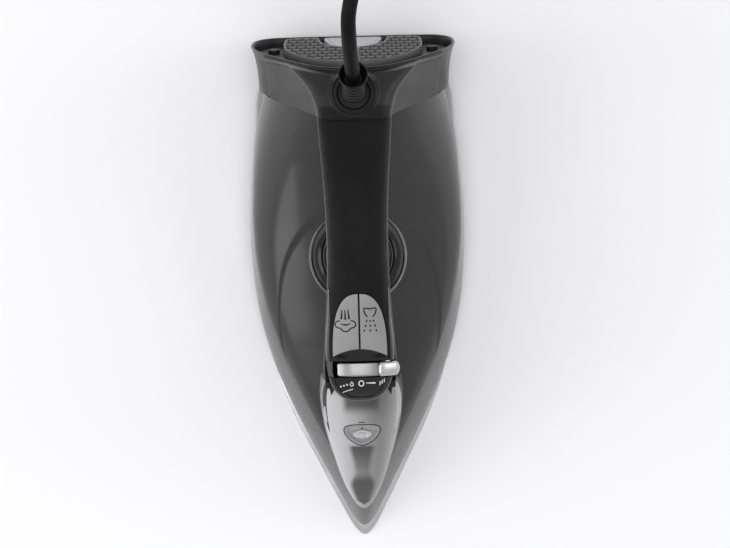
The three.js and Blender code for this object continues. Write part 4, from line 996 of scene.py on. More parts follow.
def stripe_mask(points):
    """One over the inner parts, falling to nought at their soft edge: a band round the middle
    that narrows from the nozzle forwards and then opens into a wide round end."""
    x, y = points[:, 0], points[:, 1]
    half = through([(-125, 3.2), (-120, 5.0), (-113, 6.8), (-109, 6.2), (-104, 4.4), (-96, 4.8),
                    (-86, 6.8), (-78, 7.6)])(y)
    strength = through([(-126, 1), (-110, 1), (-104, 0.55), (-98, 0.7), (-88, 0.95), (-78, 1)])(y)
    inside = strength * (1 - rise(np.abs(x + 0.4), half - 2.0, half + 1.8))
    ends = rise(y, -126, -123) * (1 - rise(y, -86, -84) * (1 - rise(y, -70, -68)))
    back = rise(y, -66, -58) * (1 - rise(np.abs(x), 7.5, 12))
    return np.maximum(inside * ends * (y < -70), back * 0.8)


def nose_cover():
    """The nose skin and its inner wall, cut by the nozzle's hole and by the leaves."""
    y = np.r_[-129.4, -129.0, np.linspace(-128, NOSE_REAR_Y, 130)]
    angle = np.linspace(0, np.pi, 150)
    inner = nose_sheet(np.maximum(y, -127.0), angle, NOSE_WALL)
    cover = merged("nose_skin", [between(nose_sheet(y, angle), inner)], 32)
    hole = drawn_in(closed_outline(NOZZLE_HALF, 90), -0.45)
    cutter = sheet("hole", np.stack([np.c_[hole, np.full(90, z)] for z in (60.0, 120.0)]), crease=30)
    cover = boolean(cover, cutter, crease=32)
    for side in (1, -1):
        cover = boolean(cover, leaf_cutter(side, LEAF, 0.35), crease=32)
    points = vertices_of(cover)
    give_attribute(cover, "backed", stripe_mask(points))
    x, y = points[:, 0], points[:, 1]
    tip = (y < -123.6) & (np.abs(x) < 3.4 * (1 - (-123.6 - y) / 3.2))
    give_attribute(cover, "dark_tip", tip * 1.0)
    # Painted highlight: the cover is painted lighter towards its left side, where the light comes from.
    give_attribute(cover, "light_side", 1 - rise(points[:, 0], -14, 12))
    return cover


SMOKED = tinted_by(
    finish("smoked cover", grey(0.14), grey(0.17), (0.16, 0.26), patch=0.03, depth=0.000003, Coat_Weight=0.2,
           Coat_Roughness=0.05, Specular_IOR_Level=0.4),
    light_side=grey(0.46), backed=grey(0.022), dark_tip=grey(0.002))
cover = nose_cover()
paint(SMOKED, cover)
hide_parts("nose_cover")
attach(cover, "housing")
print("nose cover:", len(cover.data.polygons), "faces")

# %% [markdown]
# Each cheek of the nose holds a leaf. The right one is the filler door, a thin smoked flap with a
# ridge along its middle. The left one is a black panel with a bright latch key set into it. Both
# follow the flank's own formula, so they lie flush in their openings.


# %% filler door, latch panel and latch key
def cheek(side, leaf, ridge=0.0, proud=0.15, wall=2.0, grow=0.0):
    """A leaf on the flank: ridge (1 - |2v - 1|) stands out along the middle, and the rim is
    rounded by half a millimetre."""
    y, z, v = leaf_grid(*leaf, grow=grow)
    t = np.linspace(0, 1, len(y))[:, None]
    height = np.ptp(z, axis=1, keepdims=True)
    edge = np.minimum(np.minimum(v, 1 - v) * height, np.minimum(t, 1 - t) * (leaf[1] - leaf[0]))
    round_off = 0.5 - np.sqrt(np.maximum(0.25 - (0.5 - np.clip(edge, 0, 0.5)) ** 2, 0))
    out = proud - round_off + ridge * (1 - np.abs(2 * v - 1)) * rise(edge, 0, 3)
    flank = nose_flank(y, z)
    outer = np.stack([side * (flank + out), y, z], -1)
    inner = np.stack([side * (flank - wall), y, z], -1)
    return between(outer, inner)


door = merged("filler_flap", [cheek(1, LEAF, ridge=1.3)], 24)
panel_left = merged("latch_surround", [cheek(-1, LEAF, proud=0.1)], 30)
panel_left = boolean(panel_left, leaf_cutter(-1, LATCH, 0.3), crease=30)
key = merged("latch_key", [cheek(-1, LATCH, ridge=0.5, proud=0.5)], 30)
DOOR_SMOKE = finish("smoked flap", grey(0.3), grey(0.34), (0.16, 0.26), patch=0.02, depth=0.000003,
                    Coat_Weight=0.8, Coat_Roughness=0.06)
paint(DOOR_SMOKE, door)
paint(INK, panel_left)
paint(BRIGHT, key)
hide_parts("filler_door")
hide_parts("latch_panel")
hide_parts("door_latch")
for piece, body, slot in ((door, "door", "smoked_tank"), (panel_left, "housing", "panel_black"),
                          (key, "latch", "silver_trim")):
    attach(piece, body)

# %% [markdown]
# The spray nozzle is a small moulded head. A bright rim stands round a grey dish, and in the
# dish a lens-shaped island carries the jet. Every ring is the same rounded triangle drawn in a
# little more, laid on the nose's surface.


# %% spray nozzle
def ring_on_nose(outline, inset, lift):
    """The outline drawn in by an inset and laid on the nose, raised by a lift."""
    ring = drawn_in(outline, inset)
    return np.c_[ring, nose_height(ring[:, 0], ring[:, 1], lift)]


def nozzle_head():
    """Rings of the outline step over a rounded edge and down to the sunk floor."""
    outline = closed_outline(NOZZLE_HALF, 120)
    steps = [(0.3, -6.0), (0.0, -0.6), (0.15, 0.15), (0.5, 0.45), (1.1, 0.5), (1.5, 0.3), (1.8, -0.5),
             (2.3, -0.7), (3.0, -0.75)]
    return sheet("nozzle_head", np.stack([ring_on_nose(outline, d, h) for d, h in steps]), crease=35)


def nozzle_island():
    """An island with an elliptic plan, 5.4 by 3 mm: its height falls as a dome to the dish."""
    angle = np.linspace(0, 2 * np.pi, 72, endpoint=False)
    rows = []
    for scale, lift in [(1.0, -3.0), (1.0, -0.7), (0.94, -0.3), (0.8, 0.0), (0.7, 0.05), (0.62, -0.35),
                        (0.5, -0.3), (0.3, 0.05), (0.1, 0.15)]:
        x, y = 5.4 * scale * np.cos(angle), -77.2 + 3.0 * scale * np.sin(angle)
        rows.append(np.stack([x, y, nose_height(np.zeros_like(x), y, lift)], -1))
    return sheet("nozzle_island", np.stack(rows), crease=35)


def plan_stroke(line, width, height, lift=0.05, thick=0.3, step=0.25):
    """A flat printed or moulded line: a ribbon along a plan line, laid on a height function."""
    line = np.array(line, float)
    if len(line) > 2:
        line = smooth_path(np.c_[line, np.zeros(len(line))], step)[:, :2]
    else:
        line = np.linspace(line[0], line[1], 12)
    along = np.gradient(line, axis=0)
    along /= np.linalg.norm(along, axis=1, keepdims=True)
    side = np.stack([-along[:, 1], along[:, 0]], 1)
    width = np.interp(np.linspace(0, 1, len(line)), np.linspace(0, 1, np.size(width)),
                      np.atleast_1d(width))[:, None]
    edges = [line + side * width * k for k in (0.5, 0.0, -0.5)]
    top = np.stack([np.c_[e, height(e[:, 0], e[:, 1]) + lift] for e in edges], 1)
    return between(top, top - [0, 0, thick])


def plan_dot(x, y, radius, height, lift=0.05, stretch=1.0):
    """A printed dot, as a short fat stroke that narrows to round ends."""
    t = np.linspace(-1, 1, 9)
    line = np.c_[np.full(9, float(x)), y + t * radius * stretch]
    wide = 2 * radius * np.sqrt(np.maximum(1 - t ** 2, 0.02))
    edges = [line + np.c_[wide * k, np.zeros(9)] for k in (-0.5, 0.0, 0.5)]
    top = np.stack([np.c_[e, height(e[:, 0], e[:, 1]) + lift] for e in edges], 1)
    return between(top, top - [0, 0, 0.3])


head, island = nozzle_head(), nozzle_island()
jet = merged("nozzle_marks", [plan_dot(0, -73.3, 0.55, lambda x, y: nose_height(x, y, -0.62)),
                              plan_stroke([(-1.8, -69.2), (1.6, -69.3)], 0.55, nose_height)], 30)
NOZZLE_GREY = finish("nozzle grey", grey(0.2), grey(0.25), (0.2, 0.3), patch=0.006, depth=0.000004,
                     rubbed=grey(0.7), rub_width=0.0004, Coat_Weight=0.6)
paint(NOZZLE_GREY, head)
paint(BRIGHT, island)
paint(INK, jet)
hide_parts("spray_nozzle")
for piece in (head, island, jet):
    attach(piece, "housing")

# %% [markdown]
# Ahead of the buttons the handle ends in a glossy bezel: a U of constant width that follows the
# handle's shoulders, fades out beside the buttons, and frames a sunk black panel. The rim is a
# profile carried along the U, with every point of the profile laid on the crown.

# %% bezel rim
RIM_WIDTH = 2.7
BEZEL_CORNER_Y, BEZEL_REACH, BEZEL_HALF = -25.0, 30.5, 19.0


def bezel_line():
    """The rim's outer edge: the handle's own edge on each side, then x = 19 cos^(2 / 2.6) and
    y = -25 - 30.5 sin^(2 / 2.6) round the front."""
    y = np.linspace(9, BEZEL_CORNER_Y + 0.4, 46)
    side = np.c_[np.minimum(handle_half(y) + 0.05, BEZEL_HALF), y]
    side[:, 0] = side[:, 0] + (BEZEL_HALF - side[:, 0]) * rise(y, -8, -24)
    angle = np.linspace(0, np.pi / 2, 60)
    front = np.c_[BEZEL_HALF * np.cos(angle) ** (2 / 2.6),
                  BEZEL_CORNER_Y - BEZEL_REACH * np.sin(angle) ** (2 / 2.6)]
    half = np.vstack([side, front])
    return np.vstack([half, half[-2::-1] * [-1, 1]])


RIM_FOOT = 104.3


def bezel_rim():
    """One profile swept along the front of the panel, narrower beside the buttons."""
    path = smooth_path(np.c_[bezel_line(), np.zeros(len(bezel_line()))], 0.8)[:, :2]
    along = np.gradient(path, axis=0)
    along /= np.linalg.norm(along, axis=1, keepdims=True)
    inward = np.stack([along[:, 1], -along[:, 0]], 1)
    width = 0.35 + 0.65 * (1 - rise(path[:, 1], -16, 9))
    profile = [(0.0, -11.0), (0.0, -1.1), (0.06, -0.4), (0.2, 0.1), (0.4, 0.3), (0.62, 0.3), (0.8, 0.15),
               (0.92, -0.25), (1.0, -0.9), (1.0, -3.5)]
    rows = []
    for across, lift in profile:
        place = path + inward * (across * RIM_WIDTH * width)[:, None]
        low = crown(place[:, 0] * 0.985, place[:, 1]) + lift * width
        rows.append(np.c_[place, np.maximum(low, RIM_FOOT) if lift > -5 else np.full(len(place), RIM_FOOT)])
    return sheet("bezel_rim", np.stack(rows, 1), crease=40)


def panel_half(y):
    """Half width of the sunk panel inside the rim."""
    t = np.clip((BEZEL_CORNER_Y - y) / (BEZEL_REACH - RIM_WIDTH + 0.25), 0, 1)
    return (BEZEL_HALF - RIM_WIDTH + 0.25) * np.maximum(1 - t ** 2.6, 1e-4) ** (1 / 2.6)


def panel_height(x, y, lift=0.0):
    """The panel lies three quarters of a millimetre under the handle's crown."""
    return crown(x, y) - 0.75 + lift


def panel():
    """Rows from the concave rear edge, which backs the buttons, to the round front edge."""
    v = 1 - (1 - np.linspace(0, 1, 90)) ** 1.6
    level = (-24.0 + v * (BEZEL_CORNER_Y - BEZEL_REACH + RIM_WIDTH - 0.3 + 24.0))[:, None]
    x = panel_half(level) * np.linspace(-1, 1, 70)[None, :]
    y = level - 4.4 * (x / 15) ** 2 * (1 - rise(v, 0.0, 0.45))[:, None]
    top = np.stack([x, y, panel_height(x, y)], -1)
    return merged("control_panel", [between(top, top - [0, 0, 4.2])], 30)


def box_part(low, high):
    """The eight corners of an upright block."""
    (x0, y0, z0), (x1, y1, z1) = low, high
    corners = [(x, y, z) for z in (z0, z1) for x, y in ((x0, y0), (x1, y0), (x1, y1), (x0, y1))]
    return np.array(corners, float), [(0, 1, 2, 3), (4, 5, 6, 7), (0, 1, 5, 4), (1, 2, 6, 5), (2, 3, 7, 6),
                                      (3, 0, 4, 7)]


rim = bezel_rim()
panel_face = boolean(panel(), merged("slot", [box_part((-15.4, -40.8, 100), (18.2, -31.6, 140))]), crease=30)
paint(BEZEL, rim)
paint(GLOSS, panel_face)
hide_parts("front_bezel")
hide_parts("label_plate")
for piece in (rim, panel_face):
    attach(piece, "housing")
print("bezel rim:", len(rim.data.polygons), "faces")

# %% [markdown]
# The label is printed in white on the panel. A ring stands for no steam, a line that grows
# stands for more of it, and small generic marks show steam at one end and cleaning at the other.


# %% label marks
def circle_line(x, y, radius, start=0.0, turn=360.0, count=24, squash=1.0):
    """Points of a circle or of a part of one, flattened by squash."""
    angle = np.radians(np.linspace(start, start + turn, count))
    return np.c_[x + radius * np.cos(angle), y + radius * squash * np.sin(angle)]


def label_marks():
    """In the middle a ring and a line, on the right three wavy jets, on the left a drop, three dots
    and a slanting line."""
    on = panel_height
    parts = [plan_stroke(circle_line(0.3, -44.3, 1.35, squash=1.15), 0.55, on)]
    parts.append(plan_stroke([(3.0, -44.1), (8.1, -44.2)], [0.4, 0.85], on))
    for k in range(3):
        x, y = 10.2 + 1.25 * k, -45.6 + 0.75 * k
        parts.append(plan_stroke([(x, y), (x + 0.55, y + 0.75), (x + 0.2, y + 1.5), (x + 0.85, y + 2.2)],
                                 0.4, on))
    drop = np.array([(0, 1.5), (0.75, 0.2), (0.85, -0.6), (0, -1.3), (-0.85, -0.6), (-0.75, 0.2), (0, 1.5)])
    parts.append(plan_stroke(drop * 0.95 + [-5.0, -44.6], 0.42, on))
    for k in range(3):
        parts.append(plan_dot(-7.6 - 1.75 * k, -44.9 - 0.55 * k, 0.5, on))
    parts.append(plan_stroke([(-4.4, -47.6), (-7.4, -48.5), (-10.2, -49.6)], 0.42, on))
    return merged("label_marks", parts, 30)


marks = label_marks()
paint(PRINT, marks)
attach(marks, "housing")

# %% [markdown]
# The steam lever slides over a bright band that is bent round the lever's own axis. The lever's
# tab is one soft bar bent to the same arc; its outer end is round and overhangs the rim.

# %% track and lever
LEVER_Y, LEVER_PIVOT_Z, TRACK_RADIUS = -36.2, 96.5, 29.0
LEVER_REST = math.radians(30)


def on_arc(radius, angle, y):
    """A point at a radius and an angle from straight up, about the lever's axis."""
    return np.stack([radius * np.sin(angle), y + 0 * angle, LEVER_PIVOT_Z + radius * np.cos(angle)], -1)


def bar_on_arc(angles, radius, half_thick, half_wide, y, power=3.5, sides=40):
    """A rounded bar along the arc: superellipse sections, with a half width for each angle."""
    turn = np.linspace(0, 2 * np.pi, sides, endpoint=False)[None, :]
    c, s = np.cos(turn), np.sin(turn)
    up = np.sign(s) * np.abs(s) ** (2 / power) * np.asarray(half_thick)[:, None]
    across = np.sign(c) * np.abs(c) ** (2 / power) * np.asarray(half_wide)[:, None]
    return on_arc(radius + up, np.broadcast_to(np.asarray(angles)[:, None], up.shape), y + across)


def track_band():
    """A band on the lever's arc, drawn in at both ends."""
    angle = np.linspace(-0.455, 0.655, 60)
    swell = np.minimum(1, 0.86 + 4 * np.minimum(angle - angle[0], angle[-1] - angle))
    return sheet("track_band", bar_on_arc(angle, TRACK_RADIUS - 1.3, 1.3 * swell, 3.75 * swell, -36.45,
                                          power=7), crease=50)


def tab_bar():
    """The tab's bar: its outer end is round, its inner end only a little rounded."""
    t = np.linspace(0, 1, 56)
    tip = np.sqrt(np.maximum(1 - np.clip((t - 0.68) / 0.32, 0, 1) ** 2.4, 0.004))
    heel = np.sqrt(np.maximum(1 - np.clip((0.07 - t) / 0.07, 0, 1) ** 2, 0.3))
    angle = LEVER_REST - 0.19 + 0.437 * t
    thick = 1.45 * np.maximum(tip, 0.35) * heel
    return bar_on_arc(angle, TRACK_RADIUS + 1.95, thick, 4.0 * tip * heel, LEVER_Y - 0.05, power=2.8)


def closed_part(points):
    """A round section carried along a line, with both ends closed by a fan."""
    rows, columns = points.shape[:2]
    i = np.arange(columns)
    j = (i + 1) % columns
    middles = np.stack([points[0].mean(0), points[-1].mean(0)])
    first = np.stack([np.full(columns, rows * columns), j, i], 1)
    start = (rows - 1) * columns
    last = np.stack([np.full(columns, rows * columns + 1), start + i, start + j], 1)
    faces = sheet_faces(rows, columns, True).tolist() + first.tolist() + last.tolist()
    return np.vstack([points.reshape(-1, 3), middles]), faces


def lever_bar():
    """The tab, the thin arm that goes down behind the track, and the hub it turns on."""
    reach = np.linspace(2, TRACK_RADIUS + 1.5, 12)[:, None]
    wide = np.array([-1.4, 1.4])[None, :, None] * np.array([math.cos(LEVER_REST), 0, -math.sin(LEVER_REST)])
    near, far = (on_arc(reach, np.full((12, 2), LEVER_REST), y) + wide for y in (-31.75, -32.45))
    hub_y = np.linspace(-40, -31.7, 8)
    hub = tube_part(np.c_[np.zeros(8), hub_y, np.full(8, LEVER_PIVOT_Z)], 4.0, 24)
    return merged("lever_tab", [closed_part(tab_bar()), between(near, far), hub], 40)


def tab_room():
    """The arc that the tab sweeps, a little wider than the tab."""
    swept = np.linspace(-1.0, 1.0, 60)
    arc = bar_on_arc(swept, TRACK_RADIUS + 6.2, np.full(60, 5.9), np.full(60, 4.9), LEVER_Y, power=14)
    return sheet("tab_room", arc, crease=30)


rim = boolean(rim, tab_room(), crease=40)
panel_face = boolean(panel_face, tab_room(), crease=30)
track, lever = track_band(), lever_bar()
paint(SILVER, track)
paint(BRIGHT, lever)
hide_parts("lever_track")
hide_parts("steam_lever")
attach(track, "housing")
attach(lever, "lever")

# %% [markdown]
# The two buttons are one leaf, split down its middle. Their tops follow the crown and stand a
# little proud of it, and their edges are rounded where they meet the gap. The signs are thin
# black mouldings that follow the same surface.


# %% buttons and their signs
def button_height(x, y, lift=0.0):
    """The buttons stand a little above the handle's crown."""
    return crown(x, y) + 0.8 + lift


def button(side):
    """Rows run from the concave front edge to the rear tip, columns from the gap outwards. Near
    an edge the top drops along a quarter circle of 1 mm."""
    v = ((1 - np.cos(np.pi * np.linspace(0, 1, 76))) / 2)[:, None]
    u = ((1 - np.cos(np.pi * np.linspace(0, 1, 34))) / 2)[None, :]
    level = BUTTON_FRONT + (BUTTON_REAR - BUTTON_FRONT) * (1 - (1 - v) ** 1.25)
    half = np.maximum(button_half(level), 0.9)
    x = 0.4 + (half - 0.4) * u
    y = level + 4.4 * np.maximum(1 - (x / 15) ** 2, 0) * (1 - rise(v, 0.0, 0.5))
    front = BUTTON_FRONT + 4.4 * np.maximum(1 - (x / 15) ** 2, 0)
    rear_slack = (BUTTON_REAR - y) * 1.3
    edge = np.minimum(np.minimum(half - x, x - 0.4), np.minimum(y - front, rear_slack))
    radius = 0.9
    drop = radius - np.sqrt(np.maximum(radius ** 2 - (radius - np.clip(edge, 0, radius)) ** 2, 0))
    top = np.stack([side * x, y, button_height(x, y) - drop], -1)
    base = np.stack([side * x, y, button_height(x, y) - 4.4], -1)
    return between(top, base)


def steam_sign():
    """Three short jets over a small cloud."""
    on = button_height
    parts = [plan_stroke([(-9.3, -1.9), (-9.8, -7.3)], [0.5, 1.05], on),
             plan_stroke([(-7.7, -2.2), (-7.6, -7.6)], [0.5, 1.05], on),
             plan_stroke([(-6.1, -1.9), (-5.5, -7.3)], [0.5, 1.05], on)]
    cloud = [(-10.5, -8.2), (-12.5, -8.7), (-13.3, -10.2), (-12.5, -11.8), (-10.3, -12.5), (-9.2, -13.7),
             (-7.5, -14.2), (-5.9, -13.7), (-4.9, -12.5), (-2.8, -11.8), (-1.9, -10.3), (-2.7, -8.7),
             (-4.6, -8.1)]
    parts.append(plan_stroke(cloud, 0.68, on))
    parts.append(plan_stroke([(-10.3, -9.8), (-9.0, -10.3), (-7.6, -10.45), (-6.2, -10.3), (-4.9, -9.7)],
                             [0.4, 0.85, 0.4], on))
    return merged("steam_sign", parts, 30)


def spray_sign():
    """A nozzle's cup over three rows of drops, each row wider than the last."""
    on = button_height
    cup = [(4.6, -6.3), (3.3, -4.6), (2.6, -2.2), (3.0, -1.4), (4.4, -1.5), (6.0, -1.8), (7.6, -1.5),
           (9.0, -1.4), (9.4, -2.2), (8.7, -4.6), (7.4, -6.3)]
    parts = [plan_stroke(cup, 0.68, on)]
    for y, spread in ((-8.5, 1.9), (-11.2, 2.6), (-13.9, 3.3)):
        for k in (-1, 0, 1):
            foot = 6.0 + k * spread
            parts.append(plan_stroke([(foot - 0.16 * k, y + 0.55), (foot + 0.16 * k, y - 0.55)], 0.8, on))
    return merged("spray_sign", parts, 30)


for side, body, node, sign in ((-1, "steam_key", "steam_button", steam_sign),
                               (1, "spray_key", "spray_button", spray_sign)):
    piece = merged(node + "_cap", [button(side)], 50)
    paint(BUTTON, piece)
    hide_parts(node)
    print_on = sign()
    paint(INK, print_on)
    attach(piece, body)
    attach(print_on, body)

# %% [markdown]
# The dial lies in a round well under the handle. A thin bright ring lines the well. The dial
# itself is a black disc with a shoulder and a dark glossy ring near its middle.


# %% dial

def dial_pieces():
    """The well's ring, the dial's disc and the ring near its middle, all turned."""
    base = (0, DIAL_Y, 0)
    ring = turned("well_ring", [(26.9, 52.3), (28.3, 52.3), (28.4, 55.6), (28.2, 55.95), (27.6, 56.05),
                                (27.1, 55.8), (26.9, 55.4)] + [(26.9, 52.3)], base, steps=160)
    profile = [(0, 52.4), (26.0, 52.4), (26.5, 52.6), (26.55, 53.6), (26.2, 54.0), (24.0, 54.3),
               (22.0, 54.9), (20.9, 55.8), (20.4, 57.0), (20.3, 57.2), (19.0, 57.2), (18.5, 57.9),
               (17.6, 58.3), (10.0, 58.6), (0, 58.7)]
    disc = turned("dial_disc", profile, base, steps=160)
    inner = turned("dial_inner_ring", [(19.1, 57.1), (20.25, 57.1), (20.2, 57.5), (19.7, 57.65),
                                       (19.2, 57.5), (19.1, 57.1)], base, steps=160)
    return ring, disc, inner


def dial_marks():
    """One, two and three dots round the front of the dial."""
    flat = lambda x, y: np.full(np.shape(x), 54.15)
    parts = []
    for middle, count in ((250, 1), (270, 2), (290, 3)):
        for k in range(count):
            a = math.radians(middle + 4.6 * (k - (count - 1) / 2))
            parts.append(plan_dot(24.2 * math.cos(a), DIAL_Y + 24.2 * math.sin(a), 0.55, flat))
    return merged("dial_marks", parts, 30)


well_ring, disc, inner_ring = dial_pieces()
dots = dial_marks()
paint(RING, well_ring)
paint(BEZEL, inner_ring)
paint(GLOSS, disc)
paint(PRINT, dots)
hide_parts("dial_rim")
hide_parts("temperature_dial")
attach(well_ring, "housing")
for piece in (disc, inner_ring, dots):
    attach(piece, "dial")

# %% [markdown]
# The heel is a flared collar. Rings of the rim's outline, a little smaller towards the seam,
# make the flare; the last rings turn over a thin lip and run back down the inside. The handle's
# hump and the round cord boss grow out of the collar by a smooth maximum of heights, which gives
# the fillets for free, where a boolean union would leave a hard crease.

# %% heel formulas
RIM_HALF = [(0, 0), (36, 0.2), (50, 2.4), (57.4, 11), (59.4, 28), (57, 42), (52, 54.5), (45.5, 66),
            (38.5, 78), (30, 91), (18, 104), (0, 110)]
GLAND_Y, BOSS_RADIUS, BOSS_TOP = 116.0, 12.6, 127.5
collar_scale = through([(-26, 0.932), (-14, 0.945), (-6, 0.968), (0, 1)])
hump_half = through([(100, 20.6), (108, 21.4), (118, 25), (126, 31), (134, 38)])


def heel_place(x, height, depth):
    """From the heel's own frame (across, up the heel, along its outward normal) to the iron's."""
    c, s = math.cos(HEEL_TILT), math.sin(HEEL_TILT)
    y = HEEL_Y + depth * c - height * s
    z = HEEL_Z + depth * s + height * c
    return np.stack(np.broadcast_arrays(x, y, z), -1)


def smooth_max(a, b, reach):
    """The greater of two heights, with a fillet where they meet."""
    gap = np.clip(0.5 + 0.5 * (b - a) / reach, 0, 1)
    return a + (b - a) * gap + reach * gap * (1 - gap)


def hump_height(x, y):
    """The handle's crown run on over the collar, wider and lower as it nears the rim."""
    half = hump_half(y)
    top = handle_top(y) - 2.2 * rise(y, 112, 132)
    middle = top - 12
    t = np.clip(np.abs(x) / half, 0, 1)
    return middle + 12 * (1 - t ** POWER) ** (1 / POWER) - 2.2 * np.maximum(np.abs(x) - half, 0)


def boss_height(x, y):
    """A flat round top with a small step at its edge, falling steeply outside it."""
    radius = np.hypot(x, y - GLAND_Y)
    step = 0.5 * rise(radius, BOSS_RADIUS - 0.8, BOSS_RADIUS)
    return BOSS_TOP - step - 4 * np.maximum(radius - BOSS_RADIUS, 0)


# %% [markdown]
# The collar is the flare itself. Where the handle lands, the sheet is lifted to the hump, and the
# lifted points move back along the leaning seam, so no gap opens. A dark finish covers that end.

# %% collar
def collar():
    """Rings of the rim's outline from the seam to the lip and back inside, one row for each."""
    outline = closed_outline(RIM_HALF, 520)
    depth = -COLLAR_LENGTH + COLLAR_LENGTH * np.linspace(0, 1, 90) ** 0.9
    steps = [(d, collar_scale(d), 0.0) for d in depth[:-3]]
    steps += [(-0.7, 0.997, 0.0), (-0.3, 0.9995, 0.05), (-0.02, 1.0, 0.35), (0.0, 1.0, 0.8),
              (-0.1, 1.0, 1.25), (-0.45, 1.0, 1.55), (-1.2, 0.997, 1.8), (-3, 0.99, 2.0),
              (-8.4, 0.972, 2.4), (-12, 0.96, 2.8), (-25.7, 0.934, 3.0)]
    rows = []
    for at, scale, inset in steps:
        ring = drawn_in(outline, inset)
        placed = heel_place(ring[:, 0] * scale, 0.8 + ring[:, 1] * scale ** 1.2, at)
        if inset < 0.5:
            high = ring[:, 1] > 55
            x, y, z = placed.T.copy()
            near_rim = rise(at, -5.0, -0.4)
            for _ in range(4):
                lifted = smooth_max(smooth_max(z, hump_height(x, placed[:, 1]), 5.0),
                                    boss_height(x, placed[:, 1]), 1.6)
                placed[:, 2] = np.where(high, lifted + (z - lifted) * near_rim, z)
                placed[:, 1] = y - (placed[:, 2] - z) * math.tan(HEEL_TILT) * rise(-at, 2, 20)
        rows.append(placed)
    flare = sheet("heel_collar_flare", np.stack(rows), across=True, caps=False, crease=40)
    x, y, z = vertices_of(flare).T
    front = (1 - rise(np.abs(x), 19.2, 20.4)) * rise(z, 108, 112) * (1 - rise(y, 108.5, 109.3))
    boss = (z > 112) * (np.hypot(x, y - GLAND_Y) < BOSS_RADIUS + 0.6)
    give_attribute(flare, "dark_end", np.maximum(front, boss))
    return flare


COLLAR = tinted_by(
    finish("collar gloss", grey(0.016), grey(0.021), (0.3, 0.4), patch=0.05, depth=0.000005,
           rubbed=grey(0.12), Coat_Weight=0.12, Coat_Roughness=0.15, Specular_IOR_Level=0.22),
    dark_end=grey(0.002))
flare = collar()
paint(COLLAR, flare)
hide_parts("heel_collar")
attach(flare, "housing")
print("collar:", len(flare.data.polygons), "faces")

# %% [markdown]
# Inside the rim sits a black floor with two rubber feet, so the iron can stand on its heel. The
# feet carry rows of overlapping scales. Each scale is a wedge that is highest at its upper end,
# with its neighbours half a scale aside, so the rows read as roof tiles.

# %% heel floor and feet
SCALE_WIDE, SCALE_TALL, SCALE_DEEP = 5.0, 9.6, 1.9
OPENING_HALF, OPENING_LOW, OPENING_HIGH = 13.5, 4.5, 16.5
foot_outer = through([(6, 34.5), (8, 38), (14, 39.8), (36, 40), (50, 37.4), (68, 30), (80, 20.5), (88, 8)])
foot_inner = through([(6, 20.5), (24, 18), (34, 13), (39.5, 6.5), (42, 2.6), (88, 2.4)])


def heel_floor():
    """The rim's outline drawn in makes a shallow tray; a slot is cut out for the collector."""
    outline = closed_outline(RIM_HALF, 260)
    rows = []
    for at, inset in [(-8.2, 3.4), (-5.4, 3.4), (-5.05, 3.8), (-5.0, 5.0), (-5.0, 14.0)]:
        ring = drawn_in(outline, inset)
        rows.append(heel_place(ring[:, 0] * 0.975, 0.8 + ring[:, 1] * 0.975, at))
    floor = sheet("heel_floor", np.stack(rows), crease=35)
    x = np.array([-1, 1, 1, -1]) * OPENING_HALF
    height = np.array([OPENING_LOW, OPENING_LOW, OPENING_HIGH, OPENING_HIGH])
    opening = sheet("opening", np.stack([heel_place(x, height, depth) for depth in (-12, 0)]), crease=30)
    return boolean(floor, opening, crease=35)


def scales(x, height):
    """The wedge rises with the place in the row; its crown falls off to both sides by a square."""
    row = np.floor(height / SCALE_TALL)
    up = height / SCALE_TALL - row
    aside = np.abs((x / SCALE_WIDE + 0.5 * (row % 2)) % 1 - 0.5) * 2
    top = 1 - 0.16 * aside ** 2
    body = np.clip(up / top, 0, 1)
    wedge = 0.12 + 0.88 * body ** 1.3
    gap = 1 - rise(up, top - 0.03, top + 0.03)
    return wedge * gap * (1 - 0.75 * rise(aside, 0.7, 1.0))


def foot(side):
    """A sheet between the foot's inner and outer edge, raised by the scales inside a plain border."""
    height = np.linspace(6, 88, 250)[:, None]
    across = np.linspace(0, 1, 104)[None, :]
    low, high = foot_inner(height), foot_outer(height)
    x = low + (high - low) * across
    height = np.broadcast_to(height, x.shape)
    edge = np.minimum(np.minimum(high - x, x - low), np.minimum(height - 6, 88 - height))
    plain = 1 - rise(edge, 0.9, 1.5)
    relief = scales(x, height) * (1 - plain) + 0.75 * plain
    depth = SCALE_DEEP * relief - 1.2
    name = "heel_foot_" + ("right" if side > 0 else "left")
    tread = between(heel_place(side * x, height, depth), heel_place(side * x, height, -4.7))
    piece = merged(name, [tread], 30)
    # Painted highlight: the upper ledges of the scales are painted lighter, as the overhead light would make
    # them.
    inner = np.zeros(len(vertices_of(piece)) - relief.size)
    give_attribute(piece, "ledge", np.r_[relief.ravel() ** 2, inner])
    return piece


# The rubber's lighter tone on the ledges is a painted highlight.
RUBBER = tinted_by(finish("pad rubber", grey(0.03), grey(0.04), (0.5, 0.62), patch=0.01, grain=0.0009,
                          depth=0.00003), ledge=grey(0.3))
floor_black = heel_floor()
paint(INNER_BLACK, floor_black)
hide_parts("heel_plate")
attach(floor_black, "housing")
for side, node in ((-1, "heel_pad_left"), (1, "heel_pad_right")):
    pad = foot(side)
    paint(RUBBER, pad)
    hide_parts(node)
    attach(pad, "housing")
print("foot:", len(pad.data.polygons), "faces")

# %% [markdown]
# The scale collector is pulled out by a half-moon grip. Rings of its outline, drawn in step by
# step, give it a rounded edge and a fine groove, and its face leans in towards the top.


# %% half-moon grip
MOON_HALF = [(0, 3), (12.5, 3), (15.9, 3.6), (16.9, 6.5), (16.2, 14), (13.2, 25), (9.6, 32), (5.2, 35.8),
             (0, 36.9)]


